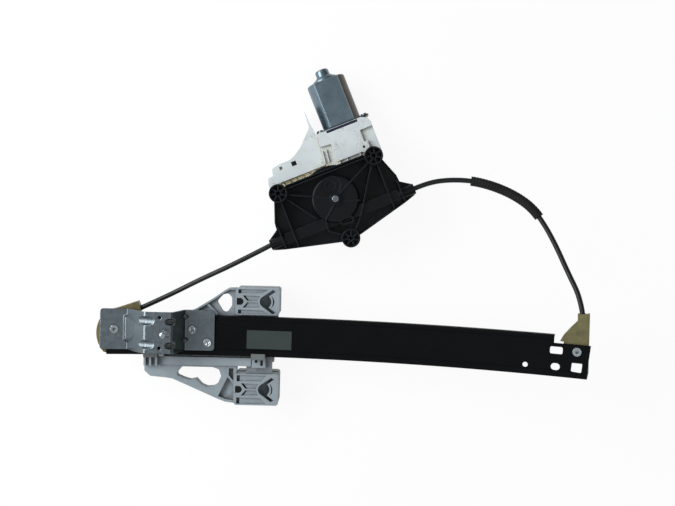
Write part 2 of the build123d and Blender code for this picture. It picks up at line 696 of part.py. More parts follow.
def clamp_front(block):
    """Front half of a glass clamp: a face sunk between ribs, with the pin's pocket and the spring's opening."""
    west, east, south, north = block
    middle = (south + north) / 2
    half = (north - south) / 2
    face = Plane(origin=(west, middle, carrier_front))
    with BuildSketch(Plane.XY.offset(carrier_front)) as profile:
        with Locations(((west + east) / 2, middle)):
            RectangleRounded(east - west, north - south, block_rounds)
    extrude(profile.sketch, amount=jaw_top + clamp_slot - carrier_front)
    # Sunk panels between the ribs, each with a deep pit at its root
    with BuildSketch(face) as profile:
        for way in (1, -1):
            with BuildLine():
                Polyline((2.6, way * (half - 1.4)), (32.6, way * (half - 1.4)), (27.2, way * 8.8), (2.6, way * 8.2),
                         close=True)
            make_face()
            with BuildLine():
                Polyline((7.0, way * 6.2), (24.6, way * 5.6), (22.2, way * 0.8), (11.6, way * 0.8), close=True)
            make_face()
    extrude(profile.sketch, amount=-panel_sink, mode=Mode.SUBTRACT)
    with BuildSketch(face) as profile:
        for way in (1, -1):
            with BuildLine():
                Polyline((2.6, way * (half - 1.4)), (5.6, way * (half - 1.4)), (5.6, way * 8.3), (2.6, way * 8.2),
                         close=True)
            make_face()
            with BuildLine():
                Polyline((7.0, way * 6.2), (9.4, way * 6.1), (13.4, way * 0.8), (11.6, way * 0.8), close=True)
            make_face()
    extrude(profile.sketch, amount=-pit_sink, mode=Mode.SUBTRACT)
    # D-shaped pocket and bore of the clamp's pin
    with BuildSketch(face) as profile:
        with Locations((pin_inset, 0)):
            Circle(pin_head_radius + socket_gap)
            Rectangle(pin_head_radius, 2 * (pin_head_radius + socket_gap), align=(Align.MAX, Align.CENTER))
    extrude(profile.sketch, amount=-pin_sink, mode=Mode.SUBTRACT)
    with BuildSketch(face) as profile:
        with Locations((pin_inset, 0)):
            Circle(pin_shank_radius + pin_play)
    extrude(profile.sketch, amount=-carrier_front, mode=Mode.SUBTRACT)
    # Arrow-shaped opening with a round point, and a spring tongue between its arms
    with BuildSketch(face) as profile:
        with BuildLine():
            ThreePointArc((26.8, 4.9), (24.2, 0), (26.8, -4.9))
            Polyline((26.8, -4.9), (37.6, -12.4), (40.2, -10.6), (33.4, -5.6))
            ThreePointArc((33.4, -5.6), (35.9, 0), (33.4, 5.6))
            Polyline((33.4, 5.6), (40.2, 10.6), (37.6, 12.4), (26.8, 4.9))
        make_face()
    extrude(profile.sketch, amount=-carrier_front, mode=Mode.SUBTRACT)
    with BuildSketch(face) as profile:
        with BuildLine():
            ThreePointArc((35.6, 6.4), (39.0, 0), (35.6, -6.4))
            ThreePointArc((35.6, -6.4), (37.6, 0), (35.6, 6.4))
        make_face()
    extrude(profile.sketch, amount=-4.0, mode=Mode.SUBTRACT)


with BuildPart() as glass_carrier:
    # Bridge behind the rail, from the wing to the arm
    with BuildSketch(Plane.XY.offset(carrier_plate_back)):
        with BuildLine():
            Polyline((-176.0, -128.0), (-158.0, -82.0), (-128.0, -70.0), (-101.0, -70.0), (-58.0, -74.0),
                     (-62.0, -128.0), close=True)
        make_face()
    extrude(amount=carrier_plate_top - carrier_plate_back)
    # Upper wing
    with BuildSketch(Plane.XY.offset(carrier_plate_back)):
        with BuildLine():
            Polyline(*wing_outline, close=True)
        make_face()
    extrude(amount=carrier_plate_top - carrier_plate_back)
    with BuildSketch(Plane.XY.offset(carrier_plate_top)):
        with BuildLine():
            bent_strip([(-150.0, -80.2), (-142.7, -75.6), (-132.7, -69.4), (-122.7, -62.9), (-112.8, -55.8),
                        (-108.6, -53.4), (-101.0, -53.0)][::-1], carrier_rib, 0.0)
        make_face()
    extrude(amount=carrier_front - 1.5 - carrier_plate_top)
    with BuildSketch(Plane.XY.offset(carrier_plate_top)):
        with BuildLine():
            Polyline((-132.6, -69.6), (-130.4, -68.2), (-116.6, -82.0), (-119.2, -82.0), close=True)
        make_face()
    extrude(amount=carrier_front - 2.5 - carrier_plate_top)
    with BuildSketch(Plane.XY.offset(carrier_front)):
        with BuildLine():
            Polyline(*wing_hole, close=True)
        make_face()
        offset(amount=-window_rounds)
        offset(amount=window_rounds + 0.6)
    extrude(amount=-20, mode=Mode.SUBTRACT)
    # Lower arm with its window
    with BuildSketch(Plane.XY.offset(carrier_arm_back)):
        with BuildLine():
            Polyline(*arm_outline, close=True)
        make_face()
    extrude(amount=carrier_front - 2 - carrier_arm_back)
    with BuildSketch(Plane.XY.offset(carrier_front)):
        with Locations((-138.0, beam_edge)):
            Rectangle(106.0, 8.3, align=(Align.CENTER, Align.MAX))
        with Locations((rail_low_x + clip_spots[1], beam_edge)):
            Rectangle(clip_length, 9.7, align=(Align.CENTER, Align.MAX))
    extrude(amount=-9)
    with BuildSketch(Plane.XY.offset(carrier_front)):
        with Locations((-79.8, -127.0)):
            Circle(1.5)
        with Locations((-74.2, -128.6)):
            SlotOverall(6.0, 2.6, rotation=90)
    extrude(amount=-9, mode=Mode.SUBTRACT)
    # Web between arm and block, with crossed ribs over a sunk floor
    with BuildSketch(Plane.XY.offset(carrier_front)):
        with BuildLine():
            Polyline((-108.4, -143.8), (-102.6, -150.6), (-102.6, -167.4), (-110.0, -166.4), (-117.8, -163.4),
                     close=True)
        make_face()
        with BuildLine():
            Polyline((-107.2, -134.8), (-102.6, -134.8), (-102.6, -147.6), (-107.4, -141.8), close=True)
        make_face()
    extrude(amount=-7.0, mode=Mode.SUBTRACT)
    with BuildSketch(Plane.XY.offset(carrier_front - 1)):
        with BuildLine():
            Polyline(*arm_window, close=True)
        make_face()
        offset(amount=-window_rounds)
        offset(amount=window_rounds)
    extrude(amount=-20, mode=Mode.SUBTRACT)
    # Left guide foot with its fins
    with BuildSketch(Plane.XY.offset(carrier_arm_back)):
        with Locations((-191.2, beam_edge), (-185.6, beam_edge), (-179.6, beam_edge)):
            Rectangle(2.2, 9.0, align=(Align.CENTER, Align.MAX))
    extrude(amount=foot_top - carrier_arm_back)
    # Fronts of the two clamps
    clamp_front(upper_block)
    clamp_front(lower_block)
    with BuildSketch(Plane.XY.offset(carrier_arm_back)):
        with Locations((-77.0, -131.0)):
            Rectangle(26.0, 19.0)
    extrude(amount=8)
    # Posts that carry the slide shoes and the rope's end pieces
    with BuildSketch(Plane.XY.offset(carrier_plate_top)):
        for spot in shoe_spots:
            with Locations((rail_low_x + spot, shoe_y)):
                Rectangle(7.0, 6.0)
        for spot in nipple_spots:
            with Locations((rail_low_x + spot, rail_low_y + rope_across - nipple_radius - 1.0)):
                Rectangle(nipple_length, 2.0)
            with Locations((rail_low_x + spot, rail_low_y + rope_across + nipple_radius + 1.0)):
                Rectangle(nipple_length, 2.0)
    extrude(amount=post_rise)
    add(guide_shoes.part, mode=Mode.SUBTRACT)
    # Room for the rail's upper flange
    with BuildSketch(Plane.XY.offset(carrier_plate_top)):
        with Locations((rail_low_x, rail_low_y + half_width + carrier_clearance)):
            Rectangle(58, 4, align=(Align.CENTER, Align.MAX))
    extrude(amount=6, mode=Mode.SUBTRACT)
finish(glass_carrier, "glass_carrier")

with BuildPart() as rope_nipples:
    for spot in nipple_spots:
        with BuildSketch(rail_section(spot)):
            with Locations((rope_across, -pulley_depth)):
                Circle(nipple_radius)
                Circle(nipple_bore, mode=Mode.SUBTRACT)
        extrude(amount=nipple_length / 2, both=True)
finish(rope_nipples, "rope_nipples")


def clamp_jaw(block):
    """Jaw behind the glass, ribbed on its back, with the heel that meets the carrier."""
    west, east, south, north = block
    middle = (south + north) / 2
    with BuildSketch(Plane.XY) as profile:
        with Locations(((west + east) / 2, middle)):
            RectangleRounded(east - west, north - south, block_rounds)
    extrude(profile.sketch, amount=jaw_top)
    with BuildSketch(Plane.XY.offset(jaw_top)) as profile:
        with Locations((west + heel_length / 2, middle)):
            RectangleRounded(heel_length, north - south - 4, 1.5)
    extrude(profile.sketch, amount=clamp_slot)
    with BuildSketch(Plane.XY) as profile:
        with Locations((west + 27.0, middle)):
            with GridLocations(11.2, (north - south) / 2 - 0.6, 3, 2):
                RectangleRounded(9.4, (north - south) / 2 - 2.8, 1.0)
    extrude(profile.sketch, amount=jaw_top - 3, mode=Mode.SUBTRACT)
    with BuildSketch(Plane.XY.offset(pin_end)) as profile:
        with Locations((west + pin_inset, middle)):
            Circle(pin_shank_radius)
    extrude(profile.sketch, amount=carrier_front, mode=Mode.SUBTRACT)


with BuildPart() as upper_clamp_jaw:
    clamp_jaw(upper_block)
finish(upper_clamp_jaw, "upper_clamp_jaw")
with BuildPart() as lower_clamp_jaw:
    clamp_jaw(lower_block)
finish(lower_clamp_jaw, "lower_clamp_jaw")

# Pins with a D-shaped head, which hold each jaw to the carrier
with BuildPart() as clamp_pins:
    head_seat = carrier_front - pin_sink
    for block in (upper_block, lower_block):
        spot = (block[0] + pin_inset, block_centre(block))
        with BuildSketch(Plane.XY.offset(pin_end)):
            with Locations(spot):
                Circle(pin_shank_radius)
        extrude(amount=head_seat - pin_end)
        with BuildSketch(Plane.XY.offset(head_seat)):
            with Locations(spot):
                Circle(pin_head_radius)
                Rectangle(pin_head_radius - socket_gap, 2 * pin_head_radius, align=(Align.MAX, Align.CENTER))
        extrude(amount=pin_sink - 0.8)
finish(clamp_pins, "clamp_pins")


def rib(start, end, wall):
    """Straight rib in the open sketch, from one point to another."""
    run = Vector(*end) - Vector(*start)
    middle = (Vector(*start) + Vector(*end)) / 2
    with Locations((middle.X, middle.Y)):
        Rectangle(run.length, wall, rotation=degrees(atan2(run.Y, run.X)))


def exit_mouth(end):
    """Plane at the mouth of a conduit socket, facing into the drum housing."""
    return Plane(
        origin=unit_point(end * exit_reach, exit_across, exit_height), x_dir=(0, 0, 1), z_dir=-unit.x_dir * end
    )


# Drum housing: black moulding over the cable drum, with its ribs and three spoked fixing bosses
boss_spots = [(-boss_side, boss_up), (boss_side, boss_up), (0.0, boss_down)]
drum_outline = [
    (10.0, boss_down - 0.5), (exit_reach - 12.5, -28.5), (exit_reach - 1.5, -25.0), (exit_reach + 0.2, -19.5),
    (exit_reach - 1.0, -13.5), (exit_reach - 10.9, -7.0), (exit_reach - 11.5, 0.0),
    (boss_side + 7.3, boss_up - 5.9), (boss_side - 9.4, boss_up + 5.1),
]
housing_ribs = [
    ((10.4 - boss_side, boss_up + 4.3), (boss_side - 10.4, boss_up + 4.3)),
    ((8.4 - boss_side, boss_up + 1.3), (boss_side - 8.4, boss_up + 1.3)),
    ((8.4 - boss_side, boss_up - 4.8), (-4.7, 2.8)),
    ((boss_side - 8.4, boss_up - 4.8), (4.7, 2.8)),
    ((5.6 - boss_side, boss_up - 8.1), (-24.2, -11.7)),
    ((boss_side - 5.6, boss_up - 8.1), (17.6, -23.9)),
    ((17.6, -23.9), (7.9, boss_down + 6.6)),
    ((-0.4 - boss_side, boss_up - 9.0), (-0.4 - boss_side, -30.5)),
    ((boss_side + 0.4, boss_up - 9.0), (boss_side + 0.4, -30.5)),
    ((13.5 - exit_reach, -5.0), (13.5 - exit_reach, -27.0)),
    ((exit_reach - 13.5, -5.0), (exit_reach - 13.5, -27.0)),
    ((-2.0, -4.0), (-16.8, -16.2)),
    ((-16.8, -16.2), (-17.6, -27.3)),
    ((-17.6, -27.3), (-6.8, -35.0)),
    ((2.0, -4.0), (22.0, -10.0)),
]
with BuildPart() as drum_housing:
    with BuildSketch(unit_plane(unit_split)):
        Circle(cup_radius)
    extrude(amount=cup_top - unit_split)
    fillet(drum_housing.faces().sort_by(Axis.Z)[-1].edges(), 3.0)
    with BuildSketch(unit_plane(unit_split)):
        Circle(flange_radius)
    extrude(amount=plate_top - unit_split)
    with BuildSketch(unit_plane(plate_top - plate_wall)):
        with BuildLine():
            Polyline(*drum_outline, *[(-a, b) for a, b in reversed(drum_outline)], close=True)
        make_face()
    extrude(amount=plate_wall)
    # Rim round the plate
    with BuildSketch(unit_plane(plate_top)):
        with BuildLine():
            Polyline(*drum_outline, *[(-a, b) for a, b in reversed(drum_outline)], close=True)
        make_face()
        offset(amount=-rib_wall, mode=Mode.SUBTRACT)
    extrude(amount=rim_height)
    # Ducts for the two ropes, and the sockets that hold the conduits' ferrules
    with BuildSketch(unit_plane(plate_top)):
        with Locations((0, exit_across)):
            Rectangle(2 * duct_reach, 10.5)
    extrude(amount=duct_top - plate_top)
    for end in (-1, 1):
        with BuildSketch(exit_mouth(end)):
            Circle(exit_radius)
        extrude(amount=exit_reach - duct_reach)
    # Ribs
    with BuildSketch(unit_plane(plate_top)):
        for start, stop in housing_ribs:
            rib(start, stop, rib_wall)
    extrude(amount=rib_top - plate_top)
    # Raised rim of the oval slot
    with BuildSketch(unit_plane(duct_top)):
        with Locations((2.8, -23.9)):
            SlotOverall(15.0, 7.6, rotation=-8)
    extrude(amount=2.5)
    with BuildSketch(unit_plane(duct_top + 2.5)):
        with Locations((2.8, -23.9)):
            SlotOverall(11.4, 4.2, rotation=-8)
    extrude(amount=-4.5, mode=Mode.SUBTRACT)
    # Round recess and hub over the pin
    with BuildSketch(unit_plane(cup_top)):
        with Locations((0.5, 13.9)):
            Circle(9.3)
    extrude(amount=-0.7, mode=Mode.SUBTRACT)
    with BuildSketch(unit_plane(cup_top)):
        with Locations((0.5, 13.9)):
            Circle(4.4)
    extrude(amount=-1.6, mode=Mode.SUBTRACT)
    with BuildSketch(unit_plane(cup_top - cup_wall)):
        Circle(5.8)
    extrude(amount=hub_top - cup_top + cup_wall)
    # Spoked bosses
    for spot in boss_spots:
        with BuildSketch(unit_plane(boss_back)):
            with Locations(spot):
                Circle(boss_radius)
        extrude(amount=boss_front - boss_back)
        with BuildSketch(unit_plane(boss_front)):
            with Locations(spot):
                Circle(boss_radius - boss_wall)
        extrude(amount=boss_floor - boss_front, mode=Mode.SUBTRACT)
        with BuildSketch(unit_plane(boss_floor)):
            with Locations(spot):
                Circle(boss_hub)
                with PolarLocations((boss_bore + boss_radius) / 2, boss_spokes, start_angle=90 - unit_turn):
                    Rectangle(boss_radius - boss_bore, rib_wall)
            with Locations(spot):
                Circle(boss_radius - boss_wall / 2, mode=Mode.INTERSECT)
        extrude(amount=boss_front - boss_floor - 1.0)
        with BuildSketch(unit_plane(boss_front)):
            with Locations(spot):
                Circle(boss_bore)
        extrude(amount=-boss_length, mode=Mode.SUBTRACT)
    # Hollow for the drum, ways for the ropes, bores
    with BuildSketch(unit_plane(unit_split)):
        Circle(cup_radius - cup_wall)
    extrude(amount=cup_top - cup_wall - unit_split, mode=Mode.SUBTRACT)
    with BuildSketch(unit_plane(unit_split)):
        with Locations((0, exit_across)):
            Rectangle(2 * duct_reach, rope_way)
    extrude(amount=duct_top - 1.6 - unit_split, mode=Mode.SUBTRACT)
    for end in (-1, 1):
        with BuildSketch(exit_mouth(end)):
            Circle(ferrule_radius)
        extrude(amount=ferrule_length, mode=Mode.SUBTRACT)
        with BuildSketch(exit_mouth(end)):
            Circle(conduit_radius)
        extrude(amount=exit_reach - duct_reach, mode=Mode.SUBTRACT)
    with BuildSketch(unit_plane(unit_split)):
        Circle(pin_radius)
    extrude(amount=pin_top - unit_split, mode=Mode.SUBTRACT)
finish(drum_housing, "drum_housing")

with BuildPart() as drum_pin:
    with BuildSketch(unit_plane(cover_wall)):
        Circle(pin_radius)
    extrude(amount=pin_top - cover_wall)
    chamfer(drum_pin.faces().sort_by(Axis.Z)[-1].edges(), 0.6)
finish(drum_pin, "drum_pin")

# Cable drum with its rope, and the drive from the worm wheel
pin_bore = pin_radius + running_gap
with BuildPart() as cable_drum:
    with BuildSketch(unit_plane(drum_back)):
        Circle(drum_rim)
    extrude(amount=drum_front - drum_back)
    # Grooves
    for height, room in zip((*rope_heights, *winding_heights), (0.45, 0.75, running_gap, running_gap)):
        with BuildSketch(Plane(origin=unit_point(0, 0, height), x_dir=unit.x_dir, z_dir=-unit.y_dir)):
            with Locations((drum_rope_radius, 0)):
                Circle(rope_radius + room)
                Rectangle(4, 2 * rope_radius + 2 * room, align=(Align.MIN, Align.CENTER))
        revolve(axis=Axis(unit_point(0, 0, height), (0, 0, 1)), mode=Mode.SUBTRACT)
    with BuildSketch(unit_plane(drum_back)):
        Circle(hub_radius)
    extrude(amount=hub_seat - drum_back, mode=Mode.SUBTRACT)
    # Weight-saving pockets in the front
    with BuildSketch(unit_plane(drum_front)):
        with PolarLocations(10.4, 6):
            Circle(2.8)
    extrude(amount=-6.0, mode=Mode.SUBTRACT)
    with BuildSketch(unit_plane(drum_back)):
        Circle(pin_bore)
    extrude(amount=drum_front - drum_back, mode=Mode.SUBTRACT)
finish(cable_drum, "cable_drum")

with BuildPart() as rope_windings:
    for height in winding_heights:
        with BuildSketch(Plane(origin=unit_point(drum_rope_radius, 0, height), x_dir=unit.x_dir, z_dir=-unit.y_dir)):
            Circle(rope_radius)
        revolve(axis=Axis(unit_point(0, 0, height), (0, 0, 1)))
finish(rope_windings, "rope_windings")

with BuildPart() as drum_ropes:
    for end, height in zip((-1, 1), rope_heights):
        start = unit_point(0, -drum_rope_radius, height)
        stop = unit_point(end * (exit_reach - ferrule_length), exit_across, exit_height)
        run = stop - start
        with BuildSketch(Plane(origin=start, z_dir=run)):
            Circle(rope_radius)
        extrude(amount=run.length)
finish(drum_ropes, "drum_ropes")

with BuildPart() as drive_hub:
    with BuildSketch(unit_plane(damper_top)):
        Circle(damper_outer)
    extrude(amount=hub_plate_top - damper_top)
    with BuildSketch(unit_plane(hub_plate_top)):
        Circle(hub_radius)
    extrude(amount=hub_seat - hub_plate_top)
    with BuildSketch(unit_plane(damper_top)):
        Circle(pin_bore)
    extrude(amount=hub_seat - damper_top, mode=Mode.SUBTRACT)
finish(drive_hub, "drive_hub")

with BuildPart() as wheel_damper:
    with BuildSketch(unit_plane(wheel_top - damper_sink)):
        Circle(damper_outer)
        Circle(damper_inner, mode=Mode.SUBTRACT)
        with PolarLocations((damper_inner + damper_outer) / 2, 6, start_angle=30):
            Rectangle(damper_outer - damper_inner - 3, 2.2, mode=Mode.SUBTRACT)
    extrude(amount=damper_top - wheel_top + damper_sink)
finish(wheel_damper, "wheel_damper")

with BuildPart() as worm_wheel:
    wheel_back = wheel_top - wheel_width
    root, tip = wheel_radius - tooth_depth / 2, wheel_radius + tooth_depth / 2
    corners = []
    for tooth in range(wheel_teeth):
        for share, reach in ((-0.34, root), (-0.16, tip), (0.16, tip), (0.34, root)):
            angle = 2 * pi * (tooth + share) / wheel_teeth
            corners.append((reach * cos(angle), reach * sin(angle)))
    with BuildSketch(unit_plane(wheel_back)):
        with BuildLine():
            Polyline(*corners, close=True)
        make_face()
    extrude(amount=wheel_width)
    with BuildSketch(unit_plane(wheel_top)):
        Circle(damper_outer)
        Circle(damper_inner, mode=Mode.SUBTRACT)
    extrude(amount=-damper_sink, mode=Mode.SUBTRACT)
    with BuildSketch(unit_plane(cover_wall + side_gap)):
        Circle(8.0)
    extrude(amount=wheel_back - cover_wall - side_gap)
    with BuildSketch(unit_plane(cover_wall)):
        Circle(pin_bore)
    extrude(amount=wheel_top, mode=Mode.SUBTRACT)
finish(worm_wheel, "worm_wheel")

# Gear housing: pale moulding with the wheel's chamber, the worm's tunnel and the motor's mouth
block_end = motor_flange - can_wall
gear_block = [(3.6, 28.0), (61.8, 28.0), (61.8, 60.0), (59.4, 65.0), (53.8, block_end), (6.6, block_end), (5.6, 60.0),
              (4.5, 50.0)]
with BuildPart() as gear_housing:
    with BuildSketch(unit_plane(cover_wall)):
        Circle(chamber_radius + 3.1)
    extrude(amount=unit_split - cover_wall)
    with BuildSketch(unit_plane(block_back)):
        with BuildLine():
            Polyline(*gear_block, close=True)
        make_face()
    extrude(amount=block_front - block_back)
    # Stepped front
    with BuildSketch(unit_plane(block_front)):
        with BuildLine():
            Polyline((3, 20), (16.3, 20), (16.3, 53.1), (3, 54.6), close=True)
        make_face()
        with BuildLine():
            Polyline((52.0, 20), (63, 20), (63, 55.6), (48.4, 55.5), (48.4, 43.4), (52.0, 43.4), close=True)
        make_face()
        with Locations((33, 24)):
            Rectangle(70, 21)
        Circle(chamber_radius + 3.1, mode=Mode.SUBTRACT)
    extrude(amount=-step_drop, mode=Mode.SUBTRACT)
    with BuildSketch(unit_plane(block_front - step_drop)):
        rib((5.4, 50.0), (3.9, 37.0), 1.4)
        rib((9.4, 50.0), (7.9, 37.0), 1.4)
        with Locations((18.0, 31.4), (26.0, 31.4), (40.0, 31.4), (46.0, 31.4)):
            Rectangle(1.4, 6.8)
    extrude(amount=step_drop * 0.7)
    with BuildSketch(unit_plane(block_front - step_drop)):
        with Locations((46.2, 38.4)):
            Circle(5.4)
    extrude(amount=step_drop + 1.4)
    with BuildSketch(unit_plane(block_front + 1.4)):
        with Locations((46.2, 38.4)):
            Circle(1.3)
    extrude(amount=-9, mode=Mode.SUBTRACT)
    # Tube round the worm
    with BuildSketch(motor_plane(tunnel_from)):
        Circle(tunnel_radius + 2.4)
    extrude(amount=mouth_from - tunnel_from)
    # Hollows
    with BuildSketch(unit_plane(cover_wall)):
        Circle(chamber_radius)
    extrude(amount=chamber_top - cover_wall, mode=Mode.SUBTRACT)
    with BuildSketch(unit_plane(cover_wall)):
        Circle(hub_radius + side_gap)
    extrude(amount=unit_split - cover_wall, mode=Mode.SUBTRACT)
    with BuildSketch(motor_plane(tunnel_from + 2.0)):
        Circle(tunnel_radius)
    extrude(amount=mouth_from - tunnel_from, mode=Mode.SUBTRACT)
    with BuildSketch(motor_plane(mouth_from)):
        Circle(mouth_radius)
    extrude(amount=20, mode=Mode.SUBTRACT)
    with BuildSketch(motor_plane(gasket_from)):
        with Locations((-1.9, 0)):
            Rectangle(gasket_width, 50)
    extrude(amount=gasket_wall, mode=Mode.SUBTRACT)
    for side in (-1, 1):
        with BuildSketch(motor_plane(motor_flange)):
            with Locations((side * motor_screw_side, 0)):
                Circle(motor_screw_radius)
        extrude(amount=-motor_screw_length, mode=Mode.SUBTRACT)
finish(gear_housing, "gear_housing")

with BuildPart() as gear_cover:
    with BuildSketch(unit_plane(0)):
        Circle(chamber_radius + 1.6)
    extrude(amount=cover_wall)
finish(gear_cover, "gear_cover")

# Electronics housing beside the gears
wing = [
    (3.5, 36.0), (4.4, 50.0), (5.5, 60.0), (5.6, 69.8), (4.2, 80.0), (3.6, 92.1), (3.4, 95.3), (2.7, 87.1), (1.8, 76.7),
    (-7.0, 68.3), (-14.0, 61.3), (-22.6, 56.1), (-27.9, 53.8), (-38.7, 53.8), (-46.8, 52.6), (-48.4, 51.1),
    (-49.7, 45.2), (-55.5, 44.2), (-57.3, 38.4), (-57.8, 33.2), (-56.0, 31.0), (-47.0, 36.0),
]
with BuildPart() as electronics_housing:
    with BuildSketch(unit_plane(wing_back)):
        with BuildLine():
            Polyline(*wing, close=True)
        make_face()
    extrude(amount=wing_front - wing_back)
    with BuildSketch(unit_plane(wing_back + 4)):
        with BuildLine():
            Polyline((-46.0, 36.5), (-46.0, 29.0), (-24.0, 27.6), (3.0, 34.8), (3.4, 37.0), close=True)
        make_face()
        Circle(chamber_radius + 3.1, mode=Mode.SUBTRACT)
    extrude(amount=14)
    with BuildSketch(unit_plane(wing_back + 18)):
        rib((-36.0, 29.0), (-33.0, 36.5), 1.4)
        rib((-27.0, 29.0), (-23.5, 36.5), 1.4)
        rib((-17.5, 30.6), (-13.0, 36.5), 1.4)
    extrude(amount=6)
    # Hollow for the circuit board, open to the connector's socket
    with BuildSketch(unit_plane(board_height - 8)):
        with BuildLine():
            Polyline((1.0, 38.5), (1.0, 52.0), (-8.0, 58.0), (-20.0, 53.6), (-28.0, 51.2), (-46.0, 50.8), (-47.4, 43.2),
                     (-52.0, 42.4), (-52.6, 38.5), close=True)
        make_face()
    extrude(amount=22, mode=Mode.SUBTRACT)
    with BuildSketch(Plane(origin=unit_point(-60, 39.8, board_height + 1), x_dir=unit.y_dir, z_dir=unit.x_dir)):
        RectangleRounded(7.0, 16.0, 1.0)
    extrude(amount=9, mode=Mode.SUBTRACT)
    with BuildSketch(unit_plane(wing_front)):
        with Locations((-25.4, 49.1)):
            Rectangle(5.0, 4.5)
        with Locations((-39.4, 49.4)):
            Rectangle(3.0, 3.2)
    extrude(amount=-3, mode=Mode.SUBTRACT)
finish(electronics_housing, "electronics_housing")

with BuildPart() as circuit_board:
    with BuildSketch(unit_plane(board_height)):
        with BuildLine():
            Polyline((0.6, 39.0), (0.6, 51.4), (-10.0, 53.0), (-26.0, 50.6), (-45.0, 50.1), (-46.2, 42.8), (-46.8, 39.0),
                     close=True)
        make_face()
    extrude(amount=board_wall)
    with BuildSketch(unit_plane(board_height + board_wall)):
        with Locations((-15.0, 45.0)):
            Rectangle(12, 9)
        with Locations((-31.0, 45.5)):
            Rectangle(8, 7)
    extrude(amount=3.0)
finish(circuit_board, "circuit_board")

with BuildPart() as connector_pins:
    for row in range(pin_count):
        across = 40.4 + (row - (pin_count - 1) / 2) * pin_pitch
        for height in (board_height + board_wall, board_height + board_wall + pin_lift):
            with BuildSketch(Plane(origin=unit_point(-53.0, across, height), x_dir=unit.y_dir, z_dir=unit.x_dir)):
                Rectangle(0.8, 0.8, align=(Align.CENTER, Align.MIN))
            extrude(amount=12)
        with BuildSketch(unit_plane(board_height + board_wall)):
            with Locations((-41.4, across)):
                Rectangle(0.8, 0.8)
        extrude(amount=pin_lift + 0.4)
finish(connector_pins, "connector_pins")

# Motor
across_motor = Axis(unit_point(worm_offset, 0, motor_height), unit.y_dir)
with BuildPart() as motor_can:
    with BuildSketch(motor_plane(motor_flange)):
        Circle(can_radius)
        Rectangle(3 * can_radius, 2 * can_half, mode=Mode.INTERSECT)
    extrude(amount=can_end - motor_flange)
    fillet(motor_can.faces().sort_by(across_motor)[-1].edges(), 2.0)
    # Step and bearing cup on the closed end
    with BuildSketch(Plane(origin=unit_point(worm_offset, can_end, motor_height), x_dir=unit.x_dir, z_dir=(0, 0, 1))):
        with BuildLine():
            Polyline((0, -1), (step_radius, -1), (step_radius, step_rise - 1.2), (step_radius - 0.4, step_rise - 0.4),
                     (step_radius - 1.2, step_rise), (ring_radius + 0.5, step_rise + 0.3),
                     (ring_radius, ring_rise - 0.8), (ring_radius - 0.6, ring_rise), (cup_end_radius, ring_rise + 0.4),
                     (cup_end_radius, cup_rise - 2.4), (cup_end_radius - 0.7, cup_rise - 0.7),
                     (cup_end_radius - 2.4, cup_rise), (0, cup_rise), close=True)
        make_face()
    revolve(axis=across_motor)
    with BuildSketch(motor_plane(motor_flange)):
        RectangleRounded(56.2, 26.0, 6.0)
    extrude(amount=-can_wall)
    # Inside
    with BuildSketch(motor_plane(motor_flange)):
        Circle(can_radius - can_wall)
        Rectangle(3 * can_radius, 2 * (can_half - can_wall), mode=Mode.INTERSECT)
    extrude(amount=can_end - can_wall - motor_flange, mode=Mode.SUBTRACT)
    with BuildSketch(motor_plane(motor_flange)):
        Circle(12.0)
    extrude(amount=-can_wall, mode=Mode.SUBTRACT)
    with BuildSketch(motor_plane(can_end - can_wall)):
        Circle(rear_bush_radius)
    extrude(amount=cup_end - can_end, mode=Mode.SUBTRACT)
    for side in (-1, 1):
        with BuildSketch(motor_plane(motor_flange)):
            with Locations((side * motor_screw_side, 0)):
                Circle(motor_screw_radius)
        extrude(amount=-can_wall, mode=Mode.SUBTRACT)
finish(motor_can, "motor_can")

with BuildPart() as motor_screws:
    for side in (-1, 1):
        with BuildSketch(motor_plane(motor_flange - motor_screw_length)):
            with Locations((side * motor_screw_side, 0)):
                Circle(motor_screw_radius)
        extrude(amount=motor_screw_length)
        with BuildSketch(motor_plane(motor_flange)):
            with Locations((side * motor_screw_side, 0)):
                Circle(3.6)
        extrude(amount=2.2, taper=10)
        with BuildSketch(motor_plane(motor_flange + 2.2)):
            with Locations((side * motor_screw_side, 0)):
                RegularPolygon(1.5, 6)
        extrude(amount=-1.4, mode=Mode.SUBTRACT)
finish(motor_screws, "motor_screws")

with BuildPart() as motor_gasket:
    with BuildSketch(motor_plane(gasket_from)):
        with Locations((-1.9, 0)):
            Rectangle(gasket_width, 2 * (block_front - motor_height) - 0.4)
        Circle(mouth_radius - 1.5, mode=Mode.SUBTRACT)
    extrude(amount=gasket_wall)
    with BuildSketch(unit_plane(block_back)):
        with Locations((worm_offset, gasket_from)):
            Rectangle(60, 20)
    extrude(amount=-20, mode=Mode.SUBTRACT)
finish(motor_gasket, "motor_gasket")

with BuildPart() as motor_magnets:
    for side in (0, 180):
        with BuildSketch(motor_plane(magnet_from)):
            with BuildLine():
                outer = CenterArc((0, 0), can_radius - can_wall, side - 46, 92)
                inner = CenterArc((0, 0), core_radius + magnet_gap, side - 46, 92)
                Line(outer @ 0, inner @ 0)
                Line(outer @ 1, inner @ 1)
            make_face()
        extrude(amount=magnet_to - magnet_from)
finish(motor_magnets, "motor_magnets")

with BuildPart() as armature_shaft:
    with BuildSketch(motor_plane(shaft_from)):
        Circle(shaft_radius)
    extrude(amount=shaft_to - shaft_from)
    with BuildSketch(motor_plane(worm_from)):
        Circle(worm_core)
    extrude(amount=worm_to - worm_from)
finish(armature_shaft, "armature_shaft")

with BuildPart() as armature_core:
    with BuildSketch(motor_plane(core_from)):
        Circle(core_radius)
        Circle(shaft_radius, mode=Mode.SUBTRACT)
        with PolarLocations(core_radius - 2.6, core_slots):
            Rectangle(5.6, 2.2, mode=Mode.SUBTRACT)
    extrude(amount=core_to - core_from)
finish(armature_core, "armature_core")

